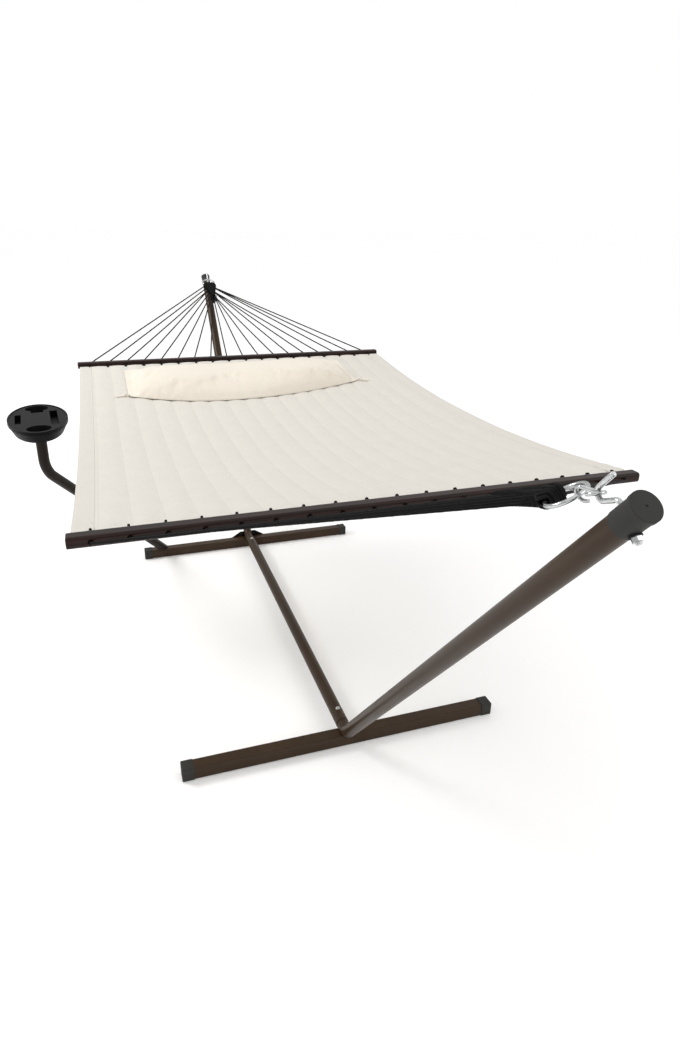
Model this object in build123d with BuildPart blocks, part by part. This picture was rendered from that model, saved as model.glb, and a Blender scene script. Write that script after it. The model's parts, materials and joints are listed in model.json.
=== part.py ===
from build123d import *
import os
from math import asin, atan2, cos, degrees, hypot, radians, sin

# A two-person quilted hammock with spreader bars, on a steel stand with a side tray.
# Millimetres. +Z is up. The hammock lies along Y: the pillow's end is the head end (+Y),
# the other is the foot end (-Y). The origin is on the ground, midway between the base tubes.
# A value called reach or height is measured in the centre plane x = 0, from the middle of the
# stand and from the ground.

ENDS = {"head": 1, "foot": -1}
SIDES = {"left": -1, "right": 1}

# Stand: two square base tubes, caps as feet, and round tubes for the beam, arms and pole
BASE_SPACING = 1460.0
BASE_LENGTH = 1000.0
BASE_TUBE = 40.0
BASE_WALL = 1.5
BASE_CORNER = 3.0
BASE_CAP_WALL = 2.0
BASE_CAP_LENGTH = 35.0
BASE_CAP_END = 3.0
ROUND_TUBE = 40.0
ROUND_WALL = 1.5
BEAM_HEIGHT = 48.0
BEAM_LENGTH = 1406.0
SLEEVE_GAP = 0.2
ELBOW_WALL = 2.0
ELBOW_BEND = 60.0
ELBOW_IN_BEAM = 110.0
ELBOW_IN_ARM = 150.0
ARM_BEHIND_BASE = 15.0
ARM_TOP_REACH = 1745.0
ARM_TOP_HEIGHT = 1200.0
ARM_START = 32.0
WELD_GAP = 0.2

# Plate that stiffens the head end's elbow
PLATE_BASE = 170.0
PLATE_TOP = 72.0
PLATE_HEIGHT = 66.0
PLATE_THICKNESS = 4.0
PLATE_SHOULDER = 36.0

# Arm caps and hook bolts
ARM_CAP_WALL = 1.2
ARM_CAP_LENGTH = 50.0
ARM_CAP_HEAD = 8.0
ARM_CAP_RIM = 2.4
ARM_CAP_DIMPLE = 2.0
HOOK_WIRE = 8.0
HOOK_BELOW_TOP = 38.0
HOOK_HOLE_GAP = 0.25
HOOK_NECK = 28.0
HOOK_BEND = 10.0
HOOK_DEPTH = 31.5
HOOK_LOW = 42.2
HOOK_TAIL = 59.5
HOOK_TAIL_END = 12.0
HOOK_THREAD_END = 12.0

# Fasteners
BOLT = 8.0
BOLT_HOLE_GAP = 0.25
BOLT_HEAD = 14.0
BOLT_HEAD_HEIGHT = 4.5
BOLT_TAIL = 3.0
BEAM_BOLT_INSET = 48.0
NUT_FLATS = 13.0
NUT_HEIGHT = 6.5
WASHER = 18.0
WASHER_THICKNESS = 2.0

# Hanging hardware
SEAT_GAP = 0.3
HOOK_GAP = 0.6
S_HOOK_WIRE = 6.0
S_HOOK_LENGTH = 50.0
S_HOOK_BEND = 11.0
S_HOOK_TIP = 16.0
RING_WIRE = 7.0
RING_RADIUS = 31.0
RING_ROLL = {"head": 0.0, "foot": -25.0}

# Rope bundles, ropes and their loops
ROPE = 6.0
ROPE_COUNT = 18
ROPE_INSET = 48.0
CLEW_THICKNESS = 20.0
CLEW_LENGTH = 125.0
CLEW_END_WIDTH = 40.0
CLEW_GAP = 0.3
OUTER_ROPE_START = 48.0
INNER_ROPE_START = 116.0
ROPE_SPREAD = 18.7
OUTER_ROPE_SPREAD = 32.0
ROPE_LAYER = 6.4
ROPE_TURN_OUTSIDE = 6.0
ROPE_TURN_RADIUS = 9.0
LOOP_RADIUS = 7.5

# Spreader bars
BAR_LENGTH = 1400.0
BAR_DEPTH = 36.0
BAR_HEIGHT = 26.0
BAR_CORNER = 8.0
BAR_HOLE = 7.0
BAR_HOLE_MOUTH = 12.0
BAR_LEVEL = 896.0
BAR_REACH = {"head": 885.0, "foot": 975.0}

# Bed
BED_WIDTH = 1380.0
BED_THICKNESS = 12.0
BED_TO_BAR = 5.0
EDGE_CORD = 8.0
EDGE_CORD_GAP = 0.3
CORD_TO_BAR = 12.0
HEM = 27.0
LOOP_NOTCH_GAP = 1.0
SIDE_SAG = 60.0
MIDDLE_SAG = 30.0
HEM_DIP = 0.5
BED_STATIONS = 10

# Pillow and its ties
PILLOW_LENGTH = 970.0
PILLOW_DEPTH = 421.0
PILLOW_END_DEPTH = 330.0
PILLOW_LOFT = 66.0
PILLOW_TO_HEM = 60.0
PILLOW_OFFSET = -28.0
PILLOW_GAP = 0.4
PILLOW_STATIONS = 8
TIE_LENGTH = 45.0
TIE_WIDTH = 8.0
TIE_THICKNESS = 2.5
TIE_LIFT = 1.0

# Tray pole and tray
POLE = 38.0
POLE_WALL = 1.5
POLE_FOOT_FROM_END = 88.0
POLE_SADDLE = 8.0
POLE_BEND = 110.0
POLE_CORNER_HEIGHT = 643.0
STUB_LENGTH = 90.0
STUB_WALL = 2.0
TRAY_CENTRE = (-832.0, 235.0)
TRAY_TURN = 5.0
TRAY_TOP = 843.0
TRAY_WIDTH = 200.0
TRAY_LENGTH = 396.0
TRAY_HEIGHT = 40.0
TRAY_RIM_HEIGHT = 12.0
TRAY_TAPER = 16.0
TRAY_WALL = 3.0
TRAY_RECESS = 2.0
TRAY_LIP = 4.0
WELL_RADIUS = 40.0
WELL_FLOOR_RADIUS = 34.0
WELL_DEPTH = 33.0
WELL_OFFSET = 140.0
NOTCH_WIDTH = 42.0
NOTCH_REACH = 28.0
NOTCH_DEPTH = 18.0
PHONE_SLOT = (20.0, 124.0)
PHONE_SLOT_CENTRE = (-65.0, 0.0)
TABLET_SLOT = (26.0, 190.0)
TABLET_SLOT_CENTRE = (54.0, -6.0)
SLOT_DEPTH = 22.0
SOCKET = 79.0
SOCKET_HEIGHT = 38.0
SOCKET_ROOF = 6.0
SWIVEL_GAP = 0.1
TRAY_HUB = 72.0
SCREW = 4.0
SCREW_HEAD = 8.0
SCREW_HEAD_HEIGHT = 3.0
SCREW_CIRCLE = 58.0
SCREW_COUNT = 4
SCREW_BORE_DEPTH = 14.0
SCREW_BITE = 12.0
SCREW_GAP = 0.2

# Places worked out from the sizes above
BASE_REACH = BASE_SPACING / 2
BASE_LEVEL = BASE_TUBE / 2 + BASE_CAP_WALL
BASE_TOP = BASE_LEVEL + BASE_TUBE / 2
BEAM_END = BEAM_LENGTH / 2
BEAM_BOLT_REACH = BEAM_END - BEAM_BOLT_INSET
ELBOW_OUTER = ROUND_TUBE - 2 * ROUND_WALL - 2 * SLEEVE_GAP
ARM_BASE_REACH = BASE_REACH + ARM_BEHIND_BASE
ARM_RUN = ARM_TOP_REACH - ARM_BASE_REACH
ARM_RISE = ARM_TOP_HEIGHT - BEAM_HEIGHT
ARM_LENGTH = hypot(ARM_RUN, ARM_RISE)
ARM_ANGLE = atan2(ARM_RISE, ARM_RUN)
CAP_OUTER_RADIUS = ROUND_TUBE / 2 + ARM_CAP_WALL
ROPE_PITCH = (BAR_LENGTH - 2 * ROPE_INSET) / (ROPE_COUNT - 1)
CORD_REACH = {end: reach - BAR_DEPTH / 2 - CORD_TO_BAR for end, reach in BAR_REACH.items()}
HEM_EDGE = {end: reach - BAR_DEPTH / 2 - BED_TO_BAR for end, reach in BAR_REACH.items()}
TRAY_FLOOR = TRAY_TOP - TRAY_HEIGHT
POLE_TOP = TRAY_FLOOR - SOCKET_ROOF - SEAT_GAP


def arm_point(side, distance):
    """A point on the arm's axis, at a distance from where it crosses the beam's axis."""
    out = ARM_BASE_REACH + distance * cos(ARM_ANGLE)
    return Vector(0, side * out, BEAM_HEIGHT + distance * sin(ARM_ANGLE))


def arm_direction(side):
    """Up the arm, outward."""
    return Vector(0, side * cos(ARM_ANGLE), sin(ARM_ANGLE))


def arm_normal(side):
    """Square to the arm in the centre plane, towards the hammock and up."""
    return Vector(0, -side * sin(ARM_ANGLE), cos(ARM_ANGLE))


def hook_plane(side):
    """Centre plane with its origin on the arm's axis at the hook bolt. Local x goes up the arm."""
    origin = arm_point(side, ARM_LENGTH - HOOK_BELOW_TOP)
    return Plane(origin=origin, x_dir=arm_direction(side), z_dir=(side, 0, 0))


def hook_bend_centre(side):
    """Middle of the hook's outer bend, where the hammock pulls on it."""
    plane = hook_plane(side)
    return plane.from_local_coords(Vector(HOOK_BEND - HOOK_DEPTH, HOOK_TAIL - HOOK_BEND, 0))


def hardware_plane(end, wire, roll):
    """Plane for what hangs in the hook. Local x runs along the pull, from the middle of the wire
    that hangs in the hook's bend, and the plane is rolled by some degrees about the pull."""
    side = ENDS[end]
    bar = Vector(0, side * BAR_REACH[end], BAR_LEVEL)
    pull = (bar - hook_bend_centre(side)).normalized()
    origin = hook_bend_centre(side) + pull * (HOOK_BEND - HOOK_WIRE / 2 - wire / 2 - HOOK_GAP)
    square = Vector(1, 0, 0).cross(pull)
    z_dir = square * cos(radians(roll)) - Vector(1, 0, 0) * (side * sin(radians(roll)))
    return Plane(origin=origin, x_dir=pull, z_dir=z_dir)


def ring_plane(end):
    """The ring's plane. The ring hangs in the hook at the head end, in the S-hook at the foot."""
    return hardware_plane(end, RING_WIRE if end == "head" else S_HOOK_WIRE, RING_ROLL[end])


def ring_centre(end):
    """Distance of the ring's middle along its plane's local x."""
    if end == "head":
        return RING_RADIUS
    return S_HOOK_LENGTH - S_HOOK_WIRE / 2 - RING_WIRE / 2 - SEAT_GAP + RING_RADIUS


def rope_x(index):
    return -BAR_LENGTH / 2 + ROPE_INSET + index * ROPE_PITCH


def bed_dip(reach):
    """How far down the sag a place on the bed is, from 0 at the hems to 1 halfway."""
    low = -HEM_EDGE["foot"] + HEM
    high = HEM_EDGE["head"] - HEM
    if not low < reach < high:
        return 0.0
    step = (high - low) / BED_STATIONS
    before = int((reach - low) / step)
    share = (reach - low) / step - before
    start, stop = before / BED_STATIONS, (before + 1) / BED_STATIONS
    return 4 * ((1 - share) * start * (1 - start) + share * stop * (1 - stop))


def bed_top(x, reach):
    """Height of the bed's upper face, whose cross-sections are arcs."""
    dip = bed_dip(reach)
    middle = HEM_DIP + MIDDLE_SAG * dip
    half = BED_WIDTH / 2
    radius = (half * half + middle * middle) / (2 * middle)
    drop = (radius * radius - x * x) ** 0.5 - (radius * radius - half * half) ** 0.5
    return BAR_LEVEL + BED_THICKNESS / 2 - SIDE_SAG * dip - drop


def save(part, name):
    part.label = name
    export_step(part, f"parts/{name}.step")


def make_tube(start, direction, length, outer, inner):
    with BuildPart() as tube:
        with BuildSketch(Plane(origin=start, z_dir=direction)):
            Circle(outer / 2)
            Circle(inner / 2, mode=Mode.SUBTRACT)
        extrude(amount=length)
    return tube.part


def elbow_line(side):
    reach = ELBOW_IN_ARM + ARM_START
    top = arm_point(side, reach)
    with BuildLine(Plane.YZ) as line:
        FilletPolyline(
            (side * (BEAM_END - ELBOW_IN_BEAM), BEAM_HEIGHT),
            (side * ARM_BASE_REACH, BEAM_HEIGHT),
            (top.Y, top.Z),
            radius=ELBOW_BEND,
        )
    return line.line


def make_elbow_core(side, outer):
    """The elbow's outer shape as a solid bar, to cut what it passes through."""
    line = elbow_line(side)
    with BuildPart() as core:
        with BuildSketch(Plane(origin=line @ 0, z_dir=line % 0)):
            Circle(outer / 2)
        sweep(path=line)
    return core.part


def make_elbow(side):
    line = elbow_line(side)
    with BuildPart() as elbow:
        with BuildSketch(Plane(origin=line @ 0, z_dir=line % 0)):
            Circle(ELBOW_OUTER / 2)
            Circle(ELBOW_OUTER / 2 - ELBOW_WALL, mode=Mode.SUBTRACT)
        sweep(path=line)
        with BuildSketch(Plane.XY):
            with Locations((0, side * BEAM_BOLT_REACH)):
                Circle(BOLT / 2 + BOLT_HOLE_GAP)
        extrude(amount=BEAM_HEIGHT + ROUND_TUBE, mode=Mode.SUBTRACT)
    return elbow.part


def make_base_tube(side):
    core = make_elbow_core(side, ELBOW_OUTER + 2 * WELD_GAP)
    length = BASE_LENGTH - 2 * BASE_CAP_END
    inside = BASE_TUBE - 2 * BASE_WALL
    with BuildPart() as base_tube:
        with BuildSketch(Plane.YZ.offset(-length / 2)):
            with Locations((side * BASE_REACH, BASE_LEVEL)):
                RectangleRounded(BASE_TUBE, BASE_TUBE, BASE_CORNER)
                RectangleRounded(inside, inside, BASE_CORNER - BASE_WALL, mode=Mode.SUBTRACT)
        extrude(amount=length)
        add(core, mode=Mode.SUBTRACT)
    return base_tube.part


def make_base_cap(end_side, side):
    outside = BASE_TUBE + 2 * BASE_CAP_WALL
    mouth = BASE_LENGTH / 2 - BASE_CAP_LENGTH
    plane = Plane(origin=(side * mouth, end_side * BASE_REACH, BASE_LEVEL), z_dir=(side, 0, 0))
    with BuildPart() as cap:
        with BuildSketch(plane):
            RectangleRounded(outside, outside, BASE_CORNER + BASE_CAP_WALL)
        extrude(amount=BASE_CAP_LENGTH)
        chamfer(cap.faces().sort_by(Axis((0, 0, 0), (side, 0, 0)))[-1].edges(), BASE_CAP_WALL)
        with BuildSketch(plane):
            RectangleRounded(BASE_TUBE, BASE_TUBE, BASE_CORNER)
        extrude(amount=BASE_CAP_LENGTH - BASE_CAP_END, mode=Mode.SUBTRACT)
    return cap.part


def make_beam():
    with BuildPart() as beam:
        with BuildSketch(Plane(origin=(0, -BEAM_END, BEAM_HEIGHT), z_dir=(0, 1, 0))):
            Circle(ROUND_TUBE / 2)
            Circle(ROUND_TUBE / 2 - ROUND_WALL, mode=Mode.SUBTRACT)
        extrude(amount=BEAM_LENGTH)
        with BuildSketch(Plane.XY):
            with GridLocations(0, 2 * BEAM_BOLT_REACH, 1, 2):
                Circle(BOLT / 2 + BOLT_HOLE_GAP)
        extrude(amount=BEAM_HEIGHT + ROUND_TUBE, mode=Mode.SUBTRACT)
    return beam.part


def make_beam_bolts():
    top = BEAM_HEIGHT + ROUND_TUBE / 2
    bottom = BEAM_HEIGHT - ROUND_TUBE / 2 - NUT_HEIGHT - BOLT_TAIL
    places = [(0, side * BEAM_BOLT_REACH) for side in ENDS.values()]
    with BuildPart() as bolts:
        with BuildSketch(Plane.XY.offset(top)):
            with Locations(*places):
                Circle(BOLT_HEAD / 2)
        extrude(amount=BOLT_HEAD_HEIGHT)
        fillet(bolts.faces().filter_by(Axis.Z).group_by(Axis.Z)[-1].edges(), BOLT_HEAD_HEIGHT / 2)
        with BuildSketch(Plane.XY.offset(bottom)):
            with Locations(*places):
                Circle(BOLT / 2)
        extrude(amount=top - bottom)
    return bolts.part


def make_beam_nuts():
    with BuildPart() as nuts:
        with BuildSketch(Plane.XY.offset(BEAM_HEIGHT - ROUND_TUBE / 2 - NUT_HEIGHT)):
            with GridLocations(0, 2 * BEAM_BOLT_REACH, 1, 2):
                RegularPolygon(NUT_FLATS / 2, 6, major_radius=False)
                Circle(BOLT / 2, mode=Mode.SUBTRACT)
        extrude(amount=NUT_HEIGHT)
    return nuts.part


def make_head_plate():
    """Trapezoid on the outer face of the head base tube, cut out for the elbow."""
    core = make_elbow_core(ENDS["head"], ELBOW_OUTER + 2 * WELD_GAP)
    foot = BASE_LEVEL - BASE_TUBE / 2
    with BuildPart() as plate:
        with BuildSketch(Plane.XZ.offset(-(BASE_REACH + BASE_TUBE / 2))):
            with BuildLine():
                Polyline(
                    (-PLATE_BASE / 2, foot),
                    (PLATE_BASE / 2, foot),
                    (PLATE_BASE / 2, PLATE_SHOULDER),
                    (PLATE_TOP / 2, PLATE_HEIGHT),
                    (-PLATE_TOP / 2, PLATE_HEIGHT),
                    (-PLATE_BASE / 2, PLATE_SHOULDER),
                    close=True,
                )
            make_face()
        extrude(amount=-PLATE_THICKNESS)
        add(core, mode=Mode.SUBTRACT)
    return plate.part


def make_arm(side):
    plane = hook_plane(side)
    across = Plane(origin=plane.origin, z_dir=arm_normal(side))
    with BuildPart() as arm:
        with BuildSketch(Plane(origin=arm_point(side, ARM_START), z_dir=arm_direction(side))):
            Circle(ROUND_TUBE / 2)
            Circle(ROUND_TUBE / 2 - ROUND_WALL, mode=Mode.SUBTRACT)
        extrude(amount=ARM_LENGTH - ARM_START - ARM_CAP_HEAD)
        with BuildSketch(across):
            Circle(HOOK_WIRE / 2 + HOOK_HOLE_GAP)
        extrude(amount=ROUND_TUBE, both=True, mode=Mode.SUBTRACT)
    return arm.part


def make_arm_cap(side):
    """Sleeve over the arm's end, with a wider flat head that has a small dimple."""
    plane = hook_plane(side)
    mouth = arm_point(side, ARM_LENGTH - ARM_CAP_LENGTH)
    neck = arm_point(side, ARM_LENGTH - ARM_CAP_HEAD)
    face = arm_point(side, ARM_LENGTH)
    direction = arm_direction(side)
    with BuildPart() as cap:
        with BuildSketch(Plane(origin=mouth, z_dir=direction)):
            Circle(CAP_OUTER_RADIUS)
        extrude(amount=ARM_CAP_LENGTH - ARM_CAP_HEAD)
        with BuildSketch(Plane(origin=neck, z_dir=direction)):
            Circle(ROUND_TUBE / 2 + ARM_CAP_RIM)
        extrude(amount=ARM_CAP_HEAD)
        fillet(cap.faces().sort_by_distance(face)[0].edges(), ARM_CAP_RIM / 2)
        with BuildSketch(Plane(origin=mouth, z_dir=direction)):
            Circle(ROUND_TUBE / 2)
        extrude(amount=ARM_CAP_LENGTH - ARM_CAP_HEAD, mode=Mode.SUBTRACT)
        with BuildSketch(Plane(origin=face, z_dir=direction)):
            Circle(ARM_CAP_DIMPLE)
        extrude(amount=-ARM_CAP_DIMPLE / 2, mode=Mode.SUBTRACT)
        with BuildSketch(Plane(origin=plane.origin, z_dir=arm_normal(side))):
            Circle(HOOK_WIRE / 2 + HOOK_HOLE_GAP)
        extrude(amount=ROUND_TUBE, both=True, mode=Mode.SUBTRACT)
    return cap.part


def make_hook_bolt(side):
    """Round bar through the arm that ends in an open hook, lying in the centre plane."""
    plane = hook_plane(side)
    thread = CAP_OUTER_RADIUS + HOOK_THREAD_END
    with BuildLine(plane) as line:
        FilletPolyline(
            (0, -thread),
            (0, HOOK_NECK),
            (-HOOK_DEPTH, HOOK_LOW),
            (-HOOK_DEPTH, HOOK_TAIL),
            (HOOK_TAIL_END, HOOK_TAIL),
            radius=[HOOK_WIRE, HOOK_BEND, HOOK_BEND],
        )
    tail = line.line @ 1
    with BuildPart() as hook_bolt:
        with BuildSketch(Plane(origin=line.line @ 0, z_dir=line.line % 0)):
            Circle(HOOK_WIRE / 2)
        sweep(path=line.line)
        fillet(hook_bolt.faces().sort_by_distance(tail)[0].edges(), HOOK_WIRE / 4)
    return hook_bolt.part


def make_hook_washer(side):
    plane = hook_plane(side)
    seat = plane.origin - arm_normal(side) * CAP_OUTER_RADIUS
    with BuildPart() as washer:
        with BuildSketch(Plane(origin=seat, z_dir=arm_normal(side) * -1)):
            Circle(WASHER / 2)
            Circle(HOOK_WIRE / 2 + HOOK_HOLE_GAP, mode=Mode.SUBTRACT)
        extrude(amount=WASHER_THICKNESS)
    return washer.part


def make_hook_nut(side):
    plane = hook_plane(side)
    seat = plane.origin - arm_normal(side) * (CAP_OUTER_RADIUS + WASHER_THICKNESS)
    with BuildPart() as nut:
        with BuildSketch(Plane(origin=seat, x_dir=(1, 0, 0), z_dir=arm_normal(side) * -1)):
            RegularPolygon(NUT_FLATS / 2, 6, major_radius=False)
            Circle(HOOK_WIRE / 2, mode=Mode.SUBTRACT)
        extrude(amount=NUT_HEIGHT)
    return nut.part


def make_s_hook():
    """Bar bent into an S with a quarter twist: one end lies across the hook, the other across
    the ring. Each tip lies beside the straight part."""
    at_hook = hardware_plane("foot", S_HOOK_WIRE, 0)
    at_ring = hardware_plane("foot", S_HOOK_WIRE, RING_ROLL["foot"] + 90)
    half = S_HOOK_BEND + 0.1
    corners = [
        at_hook.from_local_coords(Vector(S_HOOK_TIP, half, 0)),
        at_hook.from_local_coords(Vector(0, half, 0)),
        at_hook.from_local_coords(Vector(0, -half, 0)),
        at_hook.from_local_coords(Vector(S_HOOK_TIP, -half, 0)),
        at_ring.from_local_coords(Vector(S_HOOK_LENGTH - S_HOOK_TIP, half, 0)),
        at_ring.from_local_coords(Vector(S_HOOK_LENGTH, half, 0)),
        at_ring.from_local_coords(Vector(S_HOOK_LENGTH, -half, 0)),
        at_ring.from_local_coords(Vector(S_HOOK_LENGTH - S_HOOK_TIP, -half, 0)),
    ]
    bends = [S_HOOK_BEND] * 2 + [S_HOOK_WIRE] * 2 + [S_HOOK_BEND] * 2
    with BuildLine() as line:
        FilletPolyline(*corners, radius=bends)
    with BuildPart() as s_hook:
        with BuildSketch(Plane(origin=line.line @ 0, z_dir=line.line % 0)):
            Circle(S_HOOK_WIRE / 2)
        sweep(path=line.line)
    return s_hook.part


def make_torus(centre, axis, radius, wire):
    """A ring of round bar: a circle turned about an axis through the centre."""
    side_dir = Plane(origin=centre, z_dir=axis).x_dir
    start = centre + side_dir * radius
    with BuildPart() as torus:
        with BuildSketch(Plane(origin=start, x_dir=side_dir, z_dir=axis.cross(side_dir))):
            Circle(wire / 2)
        revolve(axis=Axis(centre, axis), revolution_arc=360)
    return torus.part


def make_ring(end, wire=RING_WIRE):
    plane = ring_plane(end)
    centre = plane.from_local_coords(Vector(ring_centre(end), 0, 0))
    return make_torus(centre, plane.z_dir, RING_RADIUS, wire)


def make_clew(end):
    """Rope loops side by side round the ring's hammock half, drawn in to a narrow whipped neck."""
    ring_void = make_ring(end, RING_WIRE + 2 * CLEW_GAP)
    plane = ring_plane(end)
    middle = ring_centre(end)
    outer = RING_RADIUS + RING_WIRE / 2 + ROPE
    inner = RING_RADIUS - RING_WIRE / 2 - ROPE
    neck = middle + CLEW_LENGTH
    with BuildPart() as clew:
        with BuildSketch(plane.offset(-CLEW_THICKNESS / 2)):
            with BuildLine():
                Polyline(
                    (middle, outer),
                    (middle + outer / 2, outer),
                    (neck, CLEW_END_WIDTH / 2),
                    (neck, -CLEW_END_WIDTH / 2),
                    (middle + outer / 2, -outer),
                    (middle, -outer),
                    close=True,
                )
            make_face()
            with Locations((middle, 0)):
                Circle(inner, mode=Mode.SUBTRACT)
        extrude(amount=CLEW_THICKNESS)
        add(ring_void, mode=Mode.SUBTRACT)
    return clew.part


def rope_line(end, index):
    """From inside the rope bundle to the bar's hole, through it, and up to the loop behind."""
    side = ENDS[end]
    share = 2 * index / (ROPE_COUNT - 1) - 1
    along = INNER_ROPE_START + (OUTER_ROPE_START - INNER_ROPE_START) * abs(share)
    across = share * (ROPE_SPREAD + (OUTER_ROPE_SPREAD - ROPE_SPREAD) * abs(share))
    layer = (index % 3 - 1) * ROPE_LAYER
    if RING_ROLL[end] < 0:
        layer = -layer
    plane = ring_plane(end)
    if plane.y_dir.X < 0:
        across = -across
    start = plane.from_local_coords(Vector(ring_centre(end) + along, across, layer))
    x = rope_x(index)
    outer_face = side * (BAR_REACH[end] + BAR_DEPTH / 2 + ROPE_TURN_OUTSIDE)
    loop = side * (CORD_REACH[end] + LOOP_RADIUS + ROPE / 2)
    with BuildLine() as line:
        FilletPolyline(
            start, (x, outer_face, BAR_LEVEL), (x, loop, BAR_LEVEL), radius=ROPE_TURN_RADIUS
        )
    return line.line


def make_ropes(end, clew):
    with BuildPart() as ropes:
        for index in range(ROPE_COUNT):
            line = rope_line(end, index)
            with BuildSketch(Plane(origin=line @ 0, z_dir=line % 0)):
                Circle(ROPE / 2)
            sweep(path=line)
        add(clew, mode=Mode.SUBTRACT)
    return ropes.part


def make_rope_loops(end):
    """Each rope's loop round the cord in the bed's hem."""
    side = ENDS[end]
    with BuildPart() as loops:
        for index in range(ROPE_COUNT):
            centre = Vector(rope_x(index), side * CORD_REACH[end], BAR_LEVEL)
            add(make_torus(centre, Vector(1, 0, 0), LOOP_RADIUS, ROPE))
    return loops.part


def make_spreader_bar(end):
    side = ENDS[end]
    reach = BAR_REACH[end]
    mouth = Plane(origin=(0, side * (reach + BAR_DEPTH / 2), BAR_LEVEL), x_dir=(1, 0, 0), z_dir=(0, side, 0))
    with BuildPart() as bar:
        with BuildSketch(Plane.YZ.offset(-BAR_LENGTH / 2)):
            with Locations((side * reach, BAR_LEVEL)):
                RectangleRounded(BAR_DEPTH, BAR_HEIGHT, BAR_CORNER)
        extrude(amount=BAR_LENGTH)
        fillet(bar.faces().filter_by(Axis.X).edges(), BAR_CORNER / 3)
        with Locations(mouth):
            with GridLocations(ROPE_PITCH, 1, ROPE_COUNT, 1):
                CounterSinkHole(BAR_HOLE / 2, BAR_HOLE_MOUTH / 2, depth=BAR_DEPTH)
    return bar.part


def make_edge_cord(end):
    side = ENDS[end]
    start = (-BED_WIDTH / 2 + EDGE_CORD, side * CORD_REACH[end], BAR_LEVEL)
    with BuildPart() as cord:
        with BuildSketch(Plane(origin=start, z_dir=(1, 0, 0))):
            Circle(EDGE_CORD / 2)
        extrude(amount=BED_WIDTH - 2 * EDGE_CORD)
    return cord.part


def bed_section(reach):
    """The bed's cross-section: two arcs, one bed's thickness apart, and straight sides."""
    half = BED_WIDTH / 2
    side_top, middle_top = bed_top(half, reach), bed_top(0, reach)
    with BuildSketch(Plane.XZ.offset(-reach)) as section:
        with BuildLine():
            ThreePointArc((-half, side_top), (0, middle_top), (half, side_top))
            Line((half, side_top), (half, side_top - BED_THICKNESS))
            ThreePointArc(
                (half, side_top - BED_THICKNESS),
                (0, middle_top - BED_THICKNESS),
                (-half, side_top - BED_THICKNESS),
            )
            Line((-half, side_top - BED_THICKNESS), (-half, side_top))
        make_face()
    return section.sketch


def make_bed():
    low = -HEM_EDGE["foot"] + HEM
    high = HEM_EDGE["head"] - HEM
    step = (high - low) / BED_STATIONS
    places = [low - HEM] + [low + step * i for i in range(BED_STATIONS + 1)] + [high + HEM]
    notch_width = ROPE + 2 * LOOP_NOTCH_GAP
    notch_depth = LOOP_RADIUS + ROPE / 2 + LOOP_NOTCH_GAP
    with BuildPart() as bed:
        for place in places:
            add(bed_section(place))
        loft(ruled=True)
        for end, side in ENDS.items():
            cord = side * CORD_REACH[end]
            edge = side * HEM_EDGE[end]
            depth = HEM_EDGE[end] - CORD_REACH[end] + notch_depth
            with BuildSketch(Plane(origin=(-BED_WIDTH / 2, cord, BAR_LEVEL), z_dir=(1, 0, 0))):
                Circle(EDGE_CORD / 2 + EDGE_CORD_GAP)
            extrude(amount=BED_WIDTH, mode=Mode.SUBTRACT)
            with BuildSketch(Plane.XY.offset(BAR_LEVEL)):
                with Locations((0, edge - side * depth / 2)):
                    with GridLocations(ROPE_PITCH, 1, ROPE_COUNT, 1):
                        Rectangle(notch_width, depth)
            extrude(amount=BED_THICKNESS, both=True, mode=Mode.SUBTRACT)
    return bed.part


def pillow_section(share):
    """A lens across the pillow, standing on the bed. share runs from -1 to 1 along its length."""
    x = PILLOW_OFFSET + share * PILLOW_LENGTH / 2
    fullness = max(1 - share**6, 0.15)
    back = HEM_EDGE["head"] - HEM - PILLOW_TO_HEM
    depth = PILLOW_END_DEPTH + (PILLOW_DEPTH - PILLOW_END_DEPTH) * fullness
    front = back - depth
    middle = (front + back) / 2

    def floor(reach):
        return bed_top(x, reach) + PILLOW_GAP

    with BuildSketch(Plane.YZ.offset(x)) as section:
        with BuildLine():
            Polyline((front, floor(front)), (middle, floor(middle)), (back, floor(back)))
            ThreePointArc(
                (back, floor(back)),
                (middle, floor(middle) + PILLOW_LOFT * fullness),
                (front, floor(front)),
            )
        make_face()
    return section.sketch


def make_pillow():
    with BuildPart() as pillow:
        for index in range(PILLOW_STATIONS + 1):
            add(pillow_section(2 * index / PILLOW_STATIONS - 1))
        loft(ruled=True)
    return pillow.part


def make_pillow_ties():
    """Flat tapes on the bed, beside the pillow's front corners."""
    back = HEM_EDGE["head"] - HEM - PILLOW_TO_HEM
    reach = back - PILLOW_END_DEPTH
    with BuildPart() as ties:
        for side in SIDES.values():
            inner = PILLOW_OFFSET + side * (PILLOW_LENGTH / 2 + PILLOW_GAP)
            middle = inner + side * TIE_LENGTH / 2
            inner_height, outer_height = bed_top(inner, reach), bed_top(inner + side * TIE_LENGTH, reach)
            slope = side * degrees(asin((outer_height - inner_height) / TIE_LENGTH))
            edge = reach + TIE_WIDTH / 2
            floor = max(bed_top(middle, edge), (inner_height + outer_height) / 2)
            origin = (middle, reach, floor + TIE_LIFT + TIE_THICKNESS / 2)
            with BuildSketch(Plane(origin=origin, z_dir=(0, 1, 0), x_dir=(1, 0, 0)).rotated((0, 0, -slope))):
                Rectangle(TIE_LENGTH, TIE_THICKNESS)
            extrude(amount=TIE_WIDTH / 2, both=True)
    return ties.part


def pole_line():
    foot = Vector(-BASE_LENGTH / 2 + POLE_FOOT_FROM_END, BASE_REACH, BASE_TOP)
    corner = Vector(*TRAY_CENTRE, POLE_CORNER_HEIGHT)
    start = foot + (foot - corner).normalized() * BASE_TUBE
    with BuildLine() as line:
        FilletPolyline(start, corner, (*TRAY_CENTRE, POLE_TOP), radius=POLE_BEND)
    return line.line


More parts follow.
